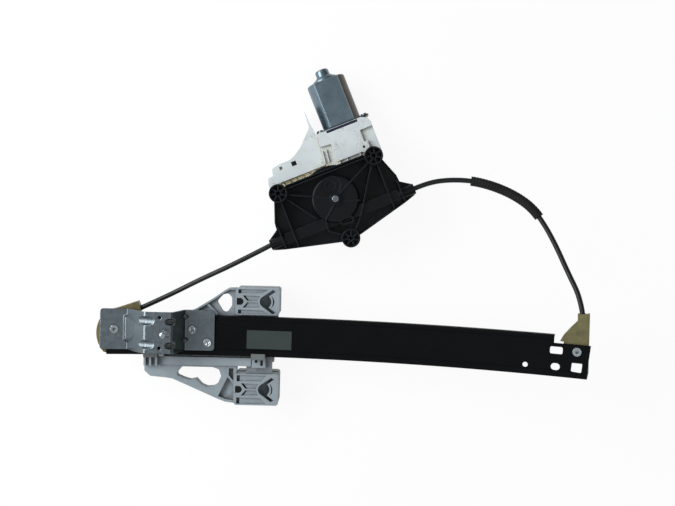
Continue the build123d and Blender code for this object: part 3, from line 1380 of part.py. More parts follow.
with BuildPart() as armature_windings:
    for start, reach in ((core_from, -winding_reach), (core_to, winding_reach)):
        with BuildSketch(motor_plane(start)):
            Circle(core_radius - 1.2)
            Circle(shaft_radius, mode=Mode.SUBTRACT)
        extrude(amount=reach)
    with BuildSketch(motor_plane(core_from)):
        with PolarLocations(core_radius - 3.4, core_slots):
            Rectangle(4.0, 2.2)
    extrude(amount=core_to - core_from)
finish(armature_windings, "armature_windings")

with BuildPart() as commutator:
    with BuildSketch(motor_plane(commutator_from)):
        Circle(commutator_radius)
        Circle(shaft_radius, mode=Mode.SUBTRACT)
    extrude(amount=commutator_length)
    with BuildSketch(motor_plane(commutator_from)):
        with PolarLocations(commutator_radius, core_slots):
            Rectangle(1.0, 0.5)
    extrude(amount=commutator_length, mode=Mode.SUBTRACT)
finish(commutator, "commutator")

with BuildPart() as brush_holder:
    with BuildSketch(motor_plane(mouth_from)):
        Circle(mouth_radius)
        Circle(commutator_radius + 1.0, mode=Mode.SUBTRACT)
    extrude(amount=holder_wall)
    for side in (-1, 1):
        with BuildSketch(motor_plane(mouth_from + holder_wall)):
            with Locations((side * 10.0, 0)):
                Rectangle(9.0, 6.4)
                Rectangle(9.0, brush_width, mode=Mode.SUBTRACT)
        extrude(amount=brush_height)
finish(brush_holder, "brush_holder")

with BuildPart() as carbon_brushes:
    for side in (-1, 1):
        with BuildSketch(motor_plane(mouth_from + holder_wall)):
            with Locations((side * (commutator_radius + 4.0), 0)):
                Rectangle(8.0, brush_width)
            Circle(commutator_radius, mode=Mode.SUBTRACT)
        extrude(amount=brush_height)
finish(carbon_brushes, "carbon_brushes")

with BuildPart() as shaft_bushes:
    for start in bush_spots:
        with BuildSketch(motor_plane(start)):
            Circle(tunnel_radius)
            Circle(shaft_radius + running_gap, mode=Mode.SUBTRACT)
        extrude(amount=bush_length)
finish(shaft_bushes, "shaft_bushes")

with BuildPart() as rear_bush:
    with BuildSketch(motor_plane(rear_bush_from)):
        Circle(rear_bush_radius)
        Circle(shaft_radius + running_gap, mode=Mode.SUBTRACT)
    extrude(amount=rear_bush_length)
finish(rear_bush, "rear_bush")

# Blank label on the rail, over the lower end
with BuildPart() as rail_label:
    with BuildSketch(rail_section(label_from)):
        with Locations((label_across, label_wall / 2 + 0.04)):
            Rectangle(label_height, label_wall)
    revolve(axis=bend_axis, revolution_arc=degrees((label_to - label_from) / rail_radius))
finish(rail_label, "rail_label")
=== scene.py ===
from math import pi, radians

import bpy
import numpy as np
from mathutils import Matrix, Vector


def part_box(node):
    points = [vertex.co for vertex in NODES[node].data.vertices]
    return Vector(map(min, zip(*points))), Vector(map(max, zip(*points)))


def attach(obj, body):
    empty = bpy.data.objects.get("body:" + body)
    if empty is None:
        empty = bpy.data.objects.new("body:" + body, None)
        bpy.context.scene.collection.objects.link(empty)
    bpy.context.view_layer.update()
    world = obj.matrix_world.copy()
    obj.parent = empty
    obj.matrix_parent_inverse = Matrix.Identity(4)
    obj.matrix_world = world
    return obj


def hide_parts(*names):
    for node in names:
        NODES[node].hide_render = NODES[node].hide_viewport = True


bl_info = {
    "name": "Window regulator looks",
    "version": (1, 0, 0),
    "blender": (4, 5, 0),
    "location": "View3D > Sidebar > Regulator",
    "description": "Finishes, conduits, threads and studio for a cable-driven window regulator",
    "category": "Object",
}

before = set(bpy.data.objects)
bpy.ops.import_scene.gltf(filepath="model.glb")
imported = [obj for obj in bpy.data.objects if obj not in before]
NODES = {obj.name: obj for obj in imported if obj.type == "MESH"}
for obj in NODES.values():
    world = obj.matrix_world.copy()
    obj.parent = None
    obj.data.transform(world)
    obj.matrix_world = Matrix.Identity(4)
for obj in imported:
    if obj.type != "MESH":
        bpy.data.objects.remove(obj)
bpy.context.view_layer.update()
MM = 0.001

# Routes of the two conduits, from the drum housing to the rail's ends, in millimetres
LOWER_ROUTE = [
    (-66.954, -9.187, 50.0), (-101.0, -27.8, 49.4), (-137.5, -45.4, 43.6), (-173.054, -64.287, 35.748),
    (-201.948, -77.869, 37.906),
]
UPPER_ROUTE = [
    (74.54, 50.582, 50.0), (88.0, 56.6, 50.4), (108.0, 60.0, 51.0), (131.0, 59.6, 53.0), (153.0, 54.2, 57.0),
    (173.5, 45.0, 62.0), (190.0, 32.5, 67.0), (202.0, 14.5, 72.0), (212.0, -5.5, 77.0), (221.0, -27.0, 82.5),
    (232.792, -53.296, 91.361), (235.166, -73.136, 92.213),
]

# Where the drive unit lies: its turn, its directions, the drum's pin and the motor's axis
TURN = radians(22.9)
ACROSS = np.array([np.cos(TURN), np.sin(TURN), 0.0])
ALONG = np.array([-np.sin(TURN), np.cos(TURN), 0.0])
UP = np.array([0.0, 0.0, 1.0])
PIN = np.array([-3.6, 38.2, 0.0])
MOTOR = PIN + 34.9 * ACROSS + 21.0 * UP
# The painted shade on the motor can's far side starts this far across
CAN_SHADE_START = float(PIN @ ACROSS) + 47.6
# The drum housing's three bosses, across and along from the pin
BOSSES = [(-50.4, 25.5), (50.4, 25.5), (0, -41.5)]


def srgb(code):
    """Linear colour of a hex code: c/12.92 under 0.04045, else ((c + 0.055)/1.055) to the power 2.4."""
    part = np.array([int(code[i:i + 2], 16) for i in (0, 2, 4)]) / 255
    linear = np.where(part <= 0.04045, part / 12.92, ((part + 0.055) / 1.055) ** 2.4)
    return tuple(float(c) for c in linear)


def add(tree, kind, links=None, **settings):
    """Adds a node, sets its attributes and sockets by name, and links its sockets to other outputs."""
    made = tree.nodes.new(kind)
    for name, value in settings.items():
        if hasattr(made, name):
            setattr(made, name, value)
        else:
            made.inputs[name.replace("_", " ")].default_value = value
    for name, source in (links or {}).items():
        tree.links.new(source, made.inputs[name])
    return made


def blank(name):
    """A new material with its tree, its Principled shader and Object coordinates."""
    material = bpy.data.materials.new(name)
    material.use_nodes = True
    tree = material.node_tree
    shader = tree.nodes["Principled BSDF"]
    place = add(tree, "ShaderNodeTexCoord").outputs["Object"]
    return material, tree, shader, place


def shades(tree, factor, colours, stops=None):
    """A colour ramp of evenly spaced or given stops, read by a factor."""
    ramp = add(tree, "ShaderNodeValToRGB", {"Fac": factor})
    elements = ramp.color_ramp.elements
    stops = stops or np.linspace(0, 1, len(colours))
    while len(elements) < len(colours):
        elements.new(0.5)
    for element, stop, colour in zip(elements, stops, colours):
        element.position = float(stop)
        element.color = (*colour, 1.0)
    return ramp.outputs["Color"]


def scaled(colour, share):
    """A colour made lighter or darker by one share."""
    return tuple(min(1.0, c * share) for c in colour)


def patches(tree, place, size, detail=4.0, rough=0.6):
    """Noise whose patches are one size in millimetres."""
    noise = add(tree, "ShaderNodeTexNoise", {"Vector": place}, Scale=1000 / size, Detail=detail,
                Roughness=rough)
    return noise.outputs[0]


def ranged(tree, value, low, high, first=0.0, last=1.0):
    """A value carried from the span low to high to the span first to last, and held at its ends."""
    span = add(tree, "ShaderNodeMapRange", {"Value": value}, From_Min=low, From_Max=high, To_Min=first,
               To_Max=last)
    return span.outputs[0]


def product(tree, one, other):
    """The product of two shares."""
    return add(tree, "ShaderNodeMath", {0: one, 1: other}, operation="MULTIPLY").outputs[0]


def blended(tree, share, tint, colour):
    """A tint mixed with one colour by a share."""
    mixed = add(tree, "ShaderNodeMix", {0: share, 6: tint}, data_type="RGBA")
    mixed.inputs[7].default_value = (*colour, 1.0)
    return mixed.outputs[2]


def openness(tree, reach):
    """How open a point lies: 1 in the open, 0 where what stands within reach millimetres hides it."""
    return add(tree, "ShaderNodeAmbientOcclusion", Distance=reach * MM, samples=8).outputs["AO"]


def soiled_and_shaded(tree, place, tint, soil_shade, reach, most):
    """Mixes a soil colour into a tint where a point is sheltered by what stands within reach of it, in
    patches: painted shade in corners and recesses, in the colour of soil.
    """
    hidden = ranged(tree, openness(tree, reach), 0.25, 0.95, most, 0.0)
    patchy = ranged(tree, patches(tree, place, 4.0), 0.3, 0.6, 0.35, 1.0)
    return blended(tree, product(tree, hidden, patchy), tint, soil_shade)


def edge_highlighted(tree, tint, rounded, rim):
    """Mixes a painted highlight of a rim colour into a tint along outer edges: there the softened normal
    leaves the true one, and nothing within 1.5 mm shelters the point."""
    true = add(tree, "ShaderNodeNewGeometry").outputs["Normal"]
    same = add(tree, "ShaderNodeVectorMath", {0: rounded.outputs["Normal"], 1: true}, operation="DOT_PRODUCT")
    turned = ranged(tree, same.outputs["Value"], 0.99, 0.88)
    outer = ranged(tree, openness(tree, 1.5), 0.7, 0.9)
    return blended(tree, product(tree, turned, outer), tint, rim)


def surface(tree, shader, tint, rough, grain, depth, edge, rim):
    """Joins a tint, a roughness and a bump of 0.05 mm over softened edges to the shader; a rim colour, where
    given, is a painted highlight along outer edges.
    """
    rounded = add(tree, "ShaderNodeBevel", Radius=edge * MM, samples=8)
    # Painted highlight: the rim colour lightens outer edges
    if rim:
        tint = edge_highlighted(tree, tint, rounded, srgb(rim))
    bump = add(tree, "ShaderNodeBump", {"Height": grain, "Normal": rounded.outputs["Normal"]},
               Strength=depth, Distance=0.05 * MM)
    tree.links.new(tint, shader.inputs["Base Color"])
    tree.links.new(rough, shader.inputs["Roughness"])
    tree.links.new(bump.outputs["Normal"], shader.inputs["Normal"])


def handled(tree, place, tint, smudge):
    """Mixes faint smudges of handling into a tint: sparse patches of 14 mm broken up by patches of 2 mm."""
    wide = ranged(tree, patches(tree, place, 14.0), 0.52, 0.68, last=0.55)
    fine = ranged(tree, patches(tree, place, 2.0), 0.42, 0.62)
    return blended(tree, product(tree, wide, fine), tint, smudge)


def clouded(tree, cloudy, colour, vary):
    """A colour that a noise makes darker and lighter by a share."""
    return shades(tree, cloudy, [scaled(colour, 1 - vary), colour, scaled(colour, 1 + vary)], [0.3, 0.5, 0.7])


def moulded(name, colour, rough, grain=0.5, cloud=25.0, depth=0.15, vary=0.10, level=0.5, soil_shade=None,
            reach=6.0, most=0.8, edge=0.35, smudge=None, rim=None):
    """Injection-moulded plastic: fine spark-eroded grain, and a cloudy tone from the flow of the melt; where
    asked, painted shade darkens sheltered places, smudges are mixed in, and a painted highlight lightens
    outer edges.
    """
    material, tree, shader, place = blank(name)
    tint = clouded(tree, patches(tree, place, cloud), colour, vary)
    if soil_shade:
        tint = soiled_and_shaded(tree, place, tint, srgb(soil_shade), reach, most)
    if smudge:
        tint = handled(tree, place, tint, srgb(smudge))
    worn = ranged(tree, patches(tree, place, cloud / 3), 0.3, 0.7, rough - 0.07, rough + 0.07)
    surface(tree, shader, tint, worn, patches(tree, place, grain, 2.0), depth, edge, rim)
    shader.inputs["Specular IOR Level"].default_value = level
    return material


def far_side_shaded(tree, place, tint, start, far_shade):
    """Mixes painted shade into a tint on the side that lies further across the drive unit than start
    millimetres, behind a painted highlight, a line one millimetre wide."""
    reach = add(tree, "ShaderNodeVectorMath", {0: place}, operation="DOT_PRODUCT")
    reach.inputs[1].default_value = ACROSS
    # The pale band is a painted highlight, the second colour painted shade
    for first, last, most, colour in ((-1.0, -0.4, 0.8, srgb("b9c4ca")), (-0.2, 0.5, 0.9, far_shade)):
        share = ranged(tree, reach.outputs["Value"], (start + first) * MM, (start + last) * MM, last=most)
        tint = blended(tree, share, tint, colour)
    return tint


def plated(name, colour, rough, spangle=6.0, vary=0.12, soil_shade=None, reach=5.0, most=0.7, rim=None, far_shade=None,
           start=0.0):
    """Plated metal: its tone and gloss wander over a few millimetres, over a faint grain of 0.4 mm; where
    asked, painted shade darkens sheltered places and the far side, and a painted highlight lightens outer
    edges and a line before the far side.
    """
    material, tree, shader, place = blank(name)
    cloudy = patches(tree, place, spangle, 5.0, 0.65)
    tint = clouded(tree, cloudy, colour, vary)
    if soil_shade:
        tint = soiled_and_shaded(tree, place, tint, srgb(soil_shade), reach, most)
    if far_shade:
        tint = far_side_shaded(tree, place, tint, start, srgb(far_shade))
    worn = ranged(tree, cloudy, 0.3, 0.7, rough - 0.05, rough + 0.05)
    surface(tree, shader, tint, worn, patches(tree, place, 0.4, 2.0), 0.03, 0.3, rim)
    shader.inputs["Metallic"].default_value = 1.0
    return material


def grid_mesh(name, points, material, wrap_u=False, wrap_v=False, smooth=True, cap=False):
    """Mesh of a grid of points (u, v, 3) in millimetres, its quads closed round u or v and its two end rows
    capped where asked."""
    rows, columns = points.shape[:2]
    index = np.arange(rows * columns).reshape(rows, columns)
    if wrap_u:
        index = np.vstack([index, index[:1]])
    if wrap_v:
        index = np.hstack([index, index[:, :1]])
    quads = np.stack([index[:-1, :-1], index[:-1, 1:], index[1:, 1:], index[1:, :-1]], axis=-1).reshape(-1, 4)
    mesh = bpy.data.meshes.new(name)
    faces = quads.tolist()
    if cap:
        faces += [index[0, :columns].tolist()[::-1], index[-1, :columns].tolist()]
    mesh.from_pydata((points.reshape(-1, 3) * MM).tolist(), [], faces)
    mesh.polygons.foreach_set("use_smooth", [smooth] * len(mesh.polygons))
    mesh.materials.append(material)
    piece = bpy.data.objects.new(name, mesh)
    bpy.context.scene.collection.objects.link(piece)
    return piece


def dress(material, *names):
    """Gives CAD nodes one finish."""
    for name in names:
        mesh = NODES[name].data
        mesh.materials.clear()
        mesh.materials.append(material)


class RegulatorFinish(bpy.types.PropertyGroup):
    """Colours that a user would change."""
    rail: bpy.props.FloatVectorProperty(
        name="Rail", description="Black electrocoat of the guide rail", subtype="COLOR", size=3,
        default=srgb("090a0c"), min=0.0, max=1.0)
    carrier: bpy.props.FloatVectorProperty(
        name="Glass carrier", description="Grey glass-filled nylon", subtype="COLOR", size=3,
        default=srgb("869198"), min=0.0, max=1.0)
    drum_housing: bpy.props.FloatVectorProperty(
        name="Drum housing", description="Black moulding over the drum", subtype="COLOR", size=3,
        default=srgb("0c0f12"), min=0.0, max=1.0)
    gear_housing: bpy.props.FloatVectorProperty(
        name="Gear housing", description="Pale moulding round the gears", subtype="COLOR", size=3,
        default=srgb("c9d1d3"), min=0.0, max=1.0)
    can: bpy.props.FloatVectorProperty(
        name="Motor can", description="Bluish zinc of the motor's can", subtype="COLOR", size=3,
        default=srgb("74858f"), min=0.0, max=1.0)
    nylon: bpy.props.FloatVectorProperty(
        name="Pulley housings", description="Yellowed natural nylon", subtype="COLOR", size=3,
        default=srgb("5f5a35"), min=0.0, max=1.0)


class RegulatorSizes(bpy.types.PropertyGroup):
    """Sizes that a user would change."""
    conduit_diameter: bpy.props.FloatProperty(
        name="Conduit diameter", description="Outside of the conduit's sheath", unit="LENGTH",
        default=5.0 * MM)
    sleeve_radius: bpy.props.FloatProperty(
        name="Sleeve radius", description="Outside of the foam sleeve", unit="LENGTH", default=4.7 * MM)
    stud_pitch: bpy.props.FloatProperty(
        name="Stud pitch", description="Pitch of the bracket stud's thread", unit="LENGTH", default=1.0 * MM)
    worm_pitch: bpy.props.FloatProperty(
        name="Worm pitch", description="Axial pitch of the worm, one wheel tooth", unit="LENGTH",
        default=2.539 * MM)


class REGULATOR_OT_finishes(bpy.types.Operator):
    """Give every CAD node the finish of the real piece"""
    bl_idname = "regulator.finishes"
    bl_label = "Finishes"

    def execute(self, context):
        look = context.scene.regulator_finish
        # Cathodic electrocoat on pressed steel: near black, even, half-gloss, faintly orange-peeled
        dress(moulded("electrocoated_steel", tuple(look.rail), 0.42, grain=1.6, cloud=40.0, depth=0.06,
                      level=0.06), "guide_rail")
        # Zinc with a grey passivation over drawn sheet: dark, with a soft gloss that wanders, painted shade
        # in its sheltered places and a painted highlight along its edges
        dress(plated("grey_passivated_zinc", srgb("6c757a"), 0.35, spangle=4.0, vary=0.1, soil_shade="4a3c2c",
                     rim="dfe6ea"), "lower_bracket", "gear_cover", "drum_pin")
        # Steel rivets with thin bright zinc, with dark painted shade in the hollow
        dress(plated("zinc_rivet", srgb("a4acb0"), 0.3, spangle=3.0, vary=0.08, soil_shade="23211e", reach=1.5,
                     most=0.9), "bracket_rivets", "lower_pulley_axle", "upper_pulley_axle")
        # Bright zinc: the clearest reflections on the object
        dress(plated("bright_zinc", srgb("98a2a9"), 0.3, spangle=3.0, vary=0.06),
              "motor_screws", "armature_shaft", "bracket_stud", "rope_nipples")
        # Unfilled nylon, yellowed with age: waxy, in cloudy blotches, smudged, with painted shade in its
        # sheltered places
        dress(moulded("natural_nylon", tuple(look.nylon), 0.45, cloud=9.0, vary=0.3, soil_shade="4a3f22",
                      smudge="6e4c22"), "lower_pulley_housing", "upper_pulley_housing")
        # Unfilled acetal: cleaner and whiter, with a low gloss
        dress(moulded("natural_acetal", srgb("cfcab6"), 0.4, vary=0.05),
              "lower_pulley", "upper_pulley", "worm_wheel")
        # Nylon filled with short glass: matt, slightly streaky, with brown painted shade in its corners and a
        # painted highlight along its edges
        dress(moulded("grey_glass_filled_nylon", tuple(look.carrier), 0.5, grain=0.7, cloud=18.0, depth=0.25,
                      soil_shade="33291f", reach=7.0, rim="9fa9af"),
              "glass_carrier", "upper_clamp_jaw", "lower_clamp_jaw")
        # Grey acetal, with painted shade in its sheltered places
        dress(moulded("grey_acetal", srgb("5f6465"), 0.45, soil_shade="2c241c"), "guide_clips", "guide_shoes")
        # Black glass-filled nylon: half-matt, the edges of its ribs a little lighter with a painted highlight
        dress(moulded("black_glass_filled_nylon", tuple(look.drum_housing), 0.34, grain=0.8, cloud=26.0,
                      depth=0.25, vary=0.25, level=0.14, edge=0.5, rim="353c42"),
              "drum_housing", "conduit_ferrules", "brush_holder")
        # Black acetal: smoother, deeper black
        dress(moulded("black_acetal", srgb("0d0e0f"), 0.35, level=0.2),
              "cable_drum", "drive_hub", "clamp_pins")
        # Glass-filled polyester, almost white: fine grain, faint smudges, and tan painted shade in the steps
        dress(moulded("grey_white_polyester", tuple(look.gear_housing), 0.42, grain=0.8, cloud=22.0,
                      vary=0.05, soil_shade="a8966a", reach=7.0, most=0.75, smudge="837b6c"),
              "gear_housing", "electronics_housing")
        # Soft nitrile rubber: dark navy and dull
        dress(moulded("navy_rubber", srgb("1b1d33"), 0.65, level=0.3), "motor_gasket", "wheel_damper")
        # Deep-drawn steel with bluish zinc: its gloss wanders, its edges carry a painted highlight, its
        # sheltered places painted shade, and its far side brown painted shade behind a painted highlight line
        dress(plated("blue_zinc_can", tuple(look.can), 0.35, spangle=9.0, vary=0.06, soil_shade="2b241c", reach=4.0,
                     most=0.5, rim="aebcc6", far_shade="40352b", start=CAN_SHADE_START), "motor_can")
        # Galvanised wires laid together: each wire catches its own light
        dress(plated("galvanised_wire", srgb("84878a"), 0.4, spangle=1.2, vary=0.3),
              "rail_rope", "drum_ropes", "rope_windings")
        # Solder lacquer over a glass laminate: green, glossy
        dress(moulded("green_lacquered_board", srgb("1f5a36"), 0.3), "circuit_board")
        dress(plated("tinned_brass", srgb("c8b887"), 0.3), "connector_pins")
        dress(moulded("ferrite", srgb("3a3b3d"), 0.6), "motor_magnets")
        dress(plated("lacquered_sheet_steel", srgb("6a6c70"), 0.45), "armature_core")
        dress(plated("enamelled_copper", srgb("b4693a"), 0.3), "armature_windings", "commutator")
        dress(moulded("carbon", srgb("2a2a2b"), 0.5), "carbon_brushes")
        dress(plated("sintered_bronze", srgb("a98a58"), 0.5), "shaft_bushes", "rear_bush")
        # Polyester foil label left blank: grey-green, even, with a low sheen
        dress(moulded("bare_foil_label", srgb("2f3836"), 0.4, grain=0.3, vary=0.05, level=0.3),
              "rail_label")
        return {"FINISHED"}


def centreline(curve):
    """Points of a curve's own line, read from its spline with no bevel, in millimetres."""
    bevel = curve.data.bevel_depth
    curve.data.bevel_depth = 0.0
    bpy.context.view_layer.update()
    line = bpy.data.meshes.new_from_object(curve)
    points = np.empty(len(line.vertices) * 3)
    line.vertices.foreach_get("co", points)
    bpy.data.meshes.remove(line)
    curve.data.bevel_depth = bevel
    return points.reshape(-1, 3) / MM


def tube_round(centre, radius, sides, ripple=0.0, waves=0.0):
    """Points of a tube: the centreline plus radius times (cos v, sin v) in the plane square to the line, the
    radius swelling by ripple times the cosine of waves turns along the tube."""
    way = np.gradient(centre, axis=0)
    way /= np.linalg.norm(way, axis=1)[:, None]
    side = np.cross(way, UP)
    side /= np.linalg.norm(side, axis=1)[:, None]
    over = np.cross(side, way)
    share = np.linspace(0, 1, len(centre))
    swell = radius * np.ones(len(centre)) + ripple * np.cos(2 * pi * waves * share)
    turn = np.linspace(0, 2 * pi, sides, endpoint=False)
    ring = side[:, None] * np.cos(turn)[None, :, None] + over[:, None] * np.sin(turn)[None, :, None]
    return centre[:, None] + ring * swell[:, None, None]


class REGULATOR_OT_conduits(bpy.types.Operator):
    """Lay the two sheathed conduits and the foam sleeve"""
    bl_idname = "regulator.conduits"
    bl_label = "Conduits"

    def execute(self, context):
        sizes = context.scene.regulator_sizes
        # Extruded polypropylene: black, smooth, with a soft line of light along it
        sheath = moulded("black_polypropylene_sheath", srgb("141618"), 0.34, grain=1.5, depth=0.1, level=0.3)
        # Closed-cell foam tube: dull, its cells just large enough to see
        foam = moulded("black_foam", srgb("171717"), 0.75, grain=1.4, depth=0.6, vary=0.2, level=0.2)
        tubes = []
        for name, route in (("lower_conduit_tube", LOWER_ROUTE), ("upper_conduit_tube", UPPER_ROUTE)):
            data = bpy.data.curves.new(name, "CURVE")
            data.dimensions = "3D"
            spline = data.splines.new("NURBS")
            spline.points.add(len(route) - 1)
            flat = np.hstack([np.array(route) * MM, np.ones((len(route), 1))])
            spline.points.foreach_set("co", flat.ravel())
            spline.order_u = 3
            spline.use_endpoint_u = True
            data.resolution_u = 16
            data.bevel_depth = sizes.conduit_diameter / 2
            data.bevel_resolution = 5
            data.use_fill_caps = True
            data.materials.append(sheath)
            tube = bpy.data.objects.new(name, data)
            context.scene.collection.objects.link(tube)
            tubes.append(tube)
        # The sleeve covers the upper conduit from 57 to 134 mm along it, with 26 ripples of 0.12 mm
        line = centreline(tubes[1])
        run = np.concatenate([[0], np.cumsum(np.linalg.norm(np.diff(line, axis=0), axis=1))])
        stretch = np.linspace(57.0, 134.0, 150)
        middle = np.stack([np.interp(stretch, run, line[:, i]) for i in range(3)], axis=1)
        body = tube_round(middle, sizes.sleeve_radius / MM, 28, 0.12, 26)
        bore = tube_round(middle, 2.55, 28)
        shell = np.concatenate([bore[:1], body[:1] * 0.5 + bore[:1] * 0.5, body,
                                body[-1:] * 0.5 + bore[-1:] * 0.5, bore[-1:]])
        sleeve = grid_mesh("foam_sleeve", shell, foam, wrap_v=True)
        for tube, node in zip(tubes, ("lower_conduit", "upper_conduit")):
            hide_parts(node)
            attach(tube, "frame")
        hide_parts("conduit_sleeve")
        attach(sleeve, "frame")
        return {"FINISHED"}


def folded_line(corners, bend, step):
    """Points of a polyline in the XZ plane whose corners are arcs of the bend's radius, one step apart."""
    corners = np.array(corners)
    pieces = [corners[:1]]
    for before, at, after in zip(corners, corners[1:], corners[2:]):
        back, ahead = before - at, after - at
        back, ahead = back / np.linalg.norm(back), ahead / np.linalg.norm(ahead)
        half = np.arccos(np.clip(-back @ ahead, -1, 1)) / 2
        middle = at + (back + ahead) / np.linalg.norm(back + ahead) * bend / np.cos(half)
        turn = np.linspace(-half, half, 9)[:, None]
        toward = (at - middle) / np.linalg.norm(at - middle)
        side = (ahead - back) / np.linalg.norm(ahead - back)
        pieces.append(middle + bend * (np.cos(turn) * toward + np.sin(turn) * side))
    line = np.vstack([*pieces, corners[-1:]])
    run = np.concatenate([[0], np.cumsum(np.linalg.norm(np.diff(line, axis=0), axis=1))])
    even = np.linspace(0, run[-1], int(run[-1] / step))
    return even, np.stack([np.interp(even, run, line[:, 0]), np.interp(even, run, line[:, 1])], axis=1)


class REGULATOR_OT_bracket(bpy.types.Operator):
    """Press the lower bracket with its darts and gusset, and crimp its rivets"""
    bl_idname = "regulator.bracket"
    bl_label = "Bracket"

    def execute(self, context):
        self.press_strip()
        self.crimp_rivets()
        self.close_holes()
        self.rib_ledge()
        return {"FINISHED"}

    def press_strip(self):
        """Strip: the folded line carried across the width and lifted by one wall. At a fold the sheet leaves
        its line towards the chord: a dart sinks an outer fold to the chord plus w squared over twice its
        radius, and more steeply past its floor, a web fills an inner fold up to the chord less w squared over
        2.6, and the gusset is a flat facet with sloping flanks."""
        wall, half_width, middle_y, columns = 1.6, 20.3, -95.9, 84
        corners = [
            (-234.97, 48.5), (-207.25, 46.43), (-185.6, 75.0), (-159.6, 75.0), (-152.4, 44.1), (-121.4, 44.1),
        ]
        run, line = folded_line(corners, bend=3.0, step=0.5)
        folds = [run[np.argmin(np.linalg.norm(line - np.array(corner), axis=1))] for corner in corners[1:5]]
        way = np.gradient(line, axis=0)
        way /= np.linalg.norm(way, axis=1)[:, None]
        line = line + np.stack([-way[:, 1], way[:, 0]], axis=1) * wall
        # The corners are rounded off by 2.6 mm at the strip's foot and by 3.2 mm at the rail
        end_gap = np.minimum(run, run[-1] - run)
        round_off = np.where(run < run[-1] / 2, 2.6, 3.2)
        short = np.clip(round_off - end_gap, 0, None)
        half = half_width - (round_off - np.sqrt(np.clip(round_off ** 2 - short ** 2, 0, None)))
        across = half[:, None] * np.linspace(-1, 1, columns)[None]
        x = np.repeat(line[:, :1], columns, axis=1)
        z = np.repeat(line[:, 1:], columns, axis=1)

        def bisector(fold, leg=6.0):
            """Unit normal of the strip at a fold, and how steeply each side falls away from it, read one leg
            before the fold and one after it."""
            before, after = way[np.argmin(abs(run - fold + leg))], way[np.argmin(abs(run - fold - leg))]
            tilt = np.arccos(np.clip(before @ after, -1, 1)) / 2
            middle = (before + after) / np.linalg.norm(before + after)
            return np.array([-middle[1], middle[0]]), np.sin(tilt)

        # Two darts in each outer fold of the raised plate: where across, how far along and the floor's radius
        for fold, places, reach, bow in ((1, (11.5, -11.6), 9.5, 7.0), (2, (10.7, -12.4), 6.6, 5.0)):
            lift, steep = bisector(folds[fold])
            sink = np.clip(reach - np.abs(run - folds[fold]), 0, None)[:, None] * steep
            for place in places:
                away = np.abs(across - place)
                flank = away ** 2 / (2 * bow) + 1.1 * np.clip(away - 0.37 * bow, 0, None) ** 2
                drop = np.minimum(sink, flank) - sink
                x, z = x + drop * lift[0], z + drop * lift[1]
        # Two webs in the inner fold at the rail, 5.6 mm up each side
        lift, steep = bisector(folds[3])
        fill = np.clip(5.6 - np.abs(run - folds[3]), 0, None)[:, None] * steep
        for place in (13.3, -9.8):
            rise = np.clip(fill - (across - place) ** 2 / 2.6, 0, None)
            x, z = x + rise * lift[0], z + rise * lift[1]
        # The gusset over the foot's inner fold, from low before it to high after it, narrowing on its way up
        lift, steep = bisector(folds[0])
        along = (run - folds[0])[:, None]
        low, high, gusset_middle, gusset_half, narrowing = 4.6, 17.5, 1.0, 12.6, 7.6
        facet = steep * 2 / (low + high) * np.where(along < 0, (along + low) * high, (high - along) * low)
        spread = gusset_half - (along + low) / (low + high) * narrowing
        rise = np.clip(facet - np.clip(np.abs(across - gusset_middle) - spread, 0, None), 0, None)
        x, z = x + rise * lift[0], z + rise * lift[1]

        points = np.stack([x, across + middle_y, z], axis=-1).reshape(-1, 3)
        index = np.arange(len(points)).reshape(x.shape)
        quads = np.stack([index[:-1, :-1], index[1:, :-1], index[1:, 1:], index[:-1, 1:]], axis=-1)
        quads = quads.reshape(-1, 4)
        # Two small holes in the raised plate: the quads inside go, and the points on the rim move onto it
        hole_x, hole_side, hole_radius = -171.0, 14.8, 1.7
        for side in (hole_side, -hole_side):
            spot = np.array([hole_x, middle_y + side])
            away = points[:, :2] - spot
            far = np.linalg.norm(away, axis=1)
            gone = np.linalg.norm(points[quads].mean(axis=1)[:, :2] - spot, axis=1) < hole_radius
            rim = np.intersect1d(quads[gone], quads[~gone])
            points[rim, :2] = spot + away[rim] / far[rim, None] * hole_radius
            quads = quads[~gone]
        kept, quads = np.unique(quads, return_inverse=True)
        mesh = bpy.data.meshes.new("pressed_bracket")
        mesh.from_pydata((points[kept] * MM).tolist(), [], quads.reshape(-1, 4).tolist())
        mesh.polygons.foreach_set("use_smooth", [True] * len(mesh.polygons))
        mesh.materials.append(bpy.data.materials["grey_passivated_zinc"])
        strip = bpy.data.objects.new("pressed_bracket", mesh)
        bpy.context.scene.collection.objects.link(strip)
        solid = strip.modifiers.new("wall", "SOLIDIFY")
        solid.thickness = wall * MM
        solid.offset = -1.0
        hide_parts("lower_bracket")
        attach(strip, "frame")

    def close_holes(self):
        """Web: a shallow dish turned about its axis, closing the lower end of each boss's bore; plug: a
        rounded square whose half-width in each direction is one over the fourth-power norm of its cosine and
        sine."""
        turn = np.linspace(0, 2 * pi, 24, endpoint=False)
        black = bpy.data.materials["black_acetal"]
        radius = np.array([0, 1.2, 2.08, 2.08, 1.2, 0])
        height = np.array([42.3, 42.3, 42.3, 43.0, 42.8, 42.8])
        ring = np.cos(turn)[:, None] * ACROSS + np.sin(turn)[:, None] * ALONG
        for number, (across, along) in enumerate(BOSSES, 1):
            centre = PIN + across * ACROSS + along * ALONG
            points = centre + radius[:, None, None] * ring + height[:, None, None] * UP
            web = grid_mesh(f"boss_web_{number}", points, black, wrap_v=True)
            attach(web, "frame")
        square = 1 / (np.cos(turn) ** 4 + np.sin(turn) ** 4) ** 0.25
        share = np.array([0, 0.97, 1.0, 1.0, 0])
        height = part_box("electronics_housing")[1][2] / MM + np.array([-2.8, -2.8, -2.6, -0.4, -0.3])
        centre = PIN - 25.4 * ACROSS + 49.1 * ALONG
        points = (centre + (share[:, None] * square)[..., None]
                  * (2.45 * np.cos(turn)[:, None] * ACROSS + 2.2 * np.sin(turn)[:, None] * ALONG)
                  + height[:, None, None] * UP)
        plug = grid_mesh("wing_plug", points, black, wrap_v=True, smooth=False)
        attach(plug, "frame")

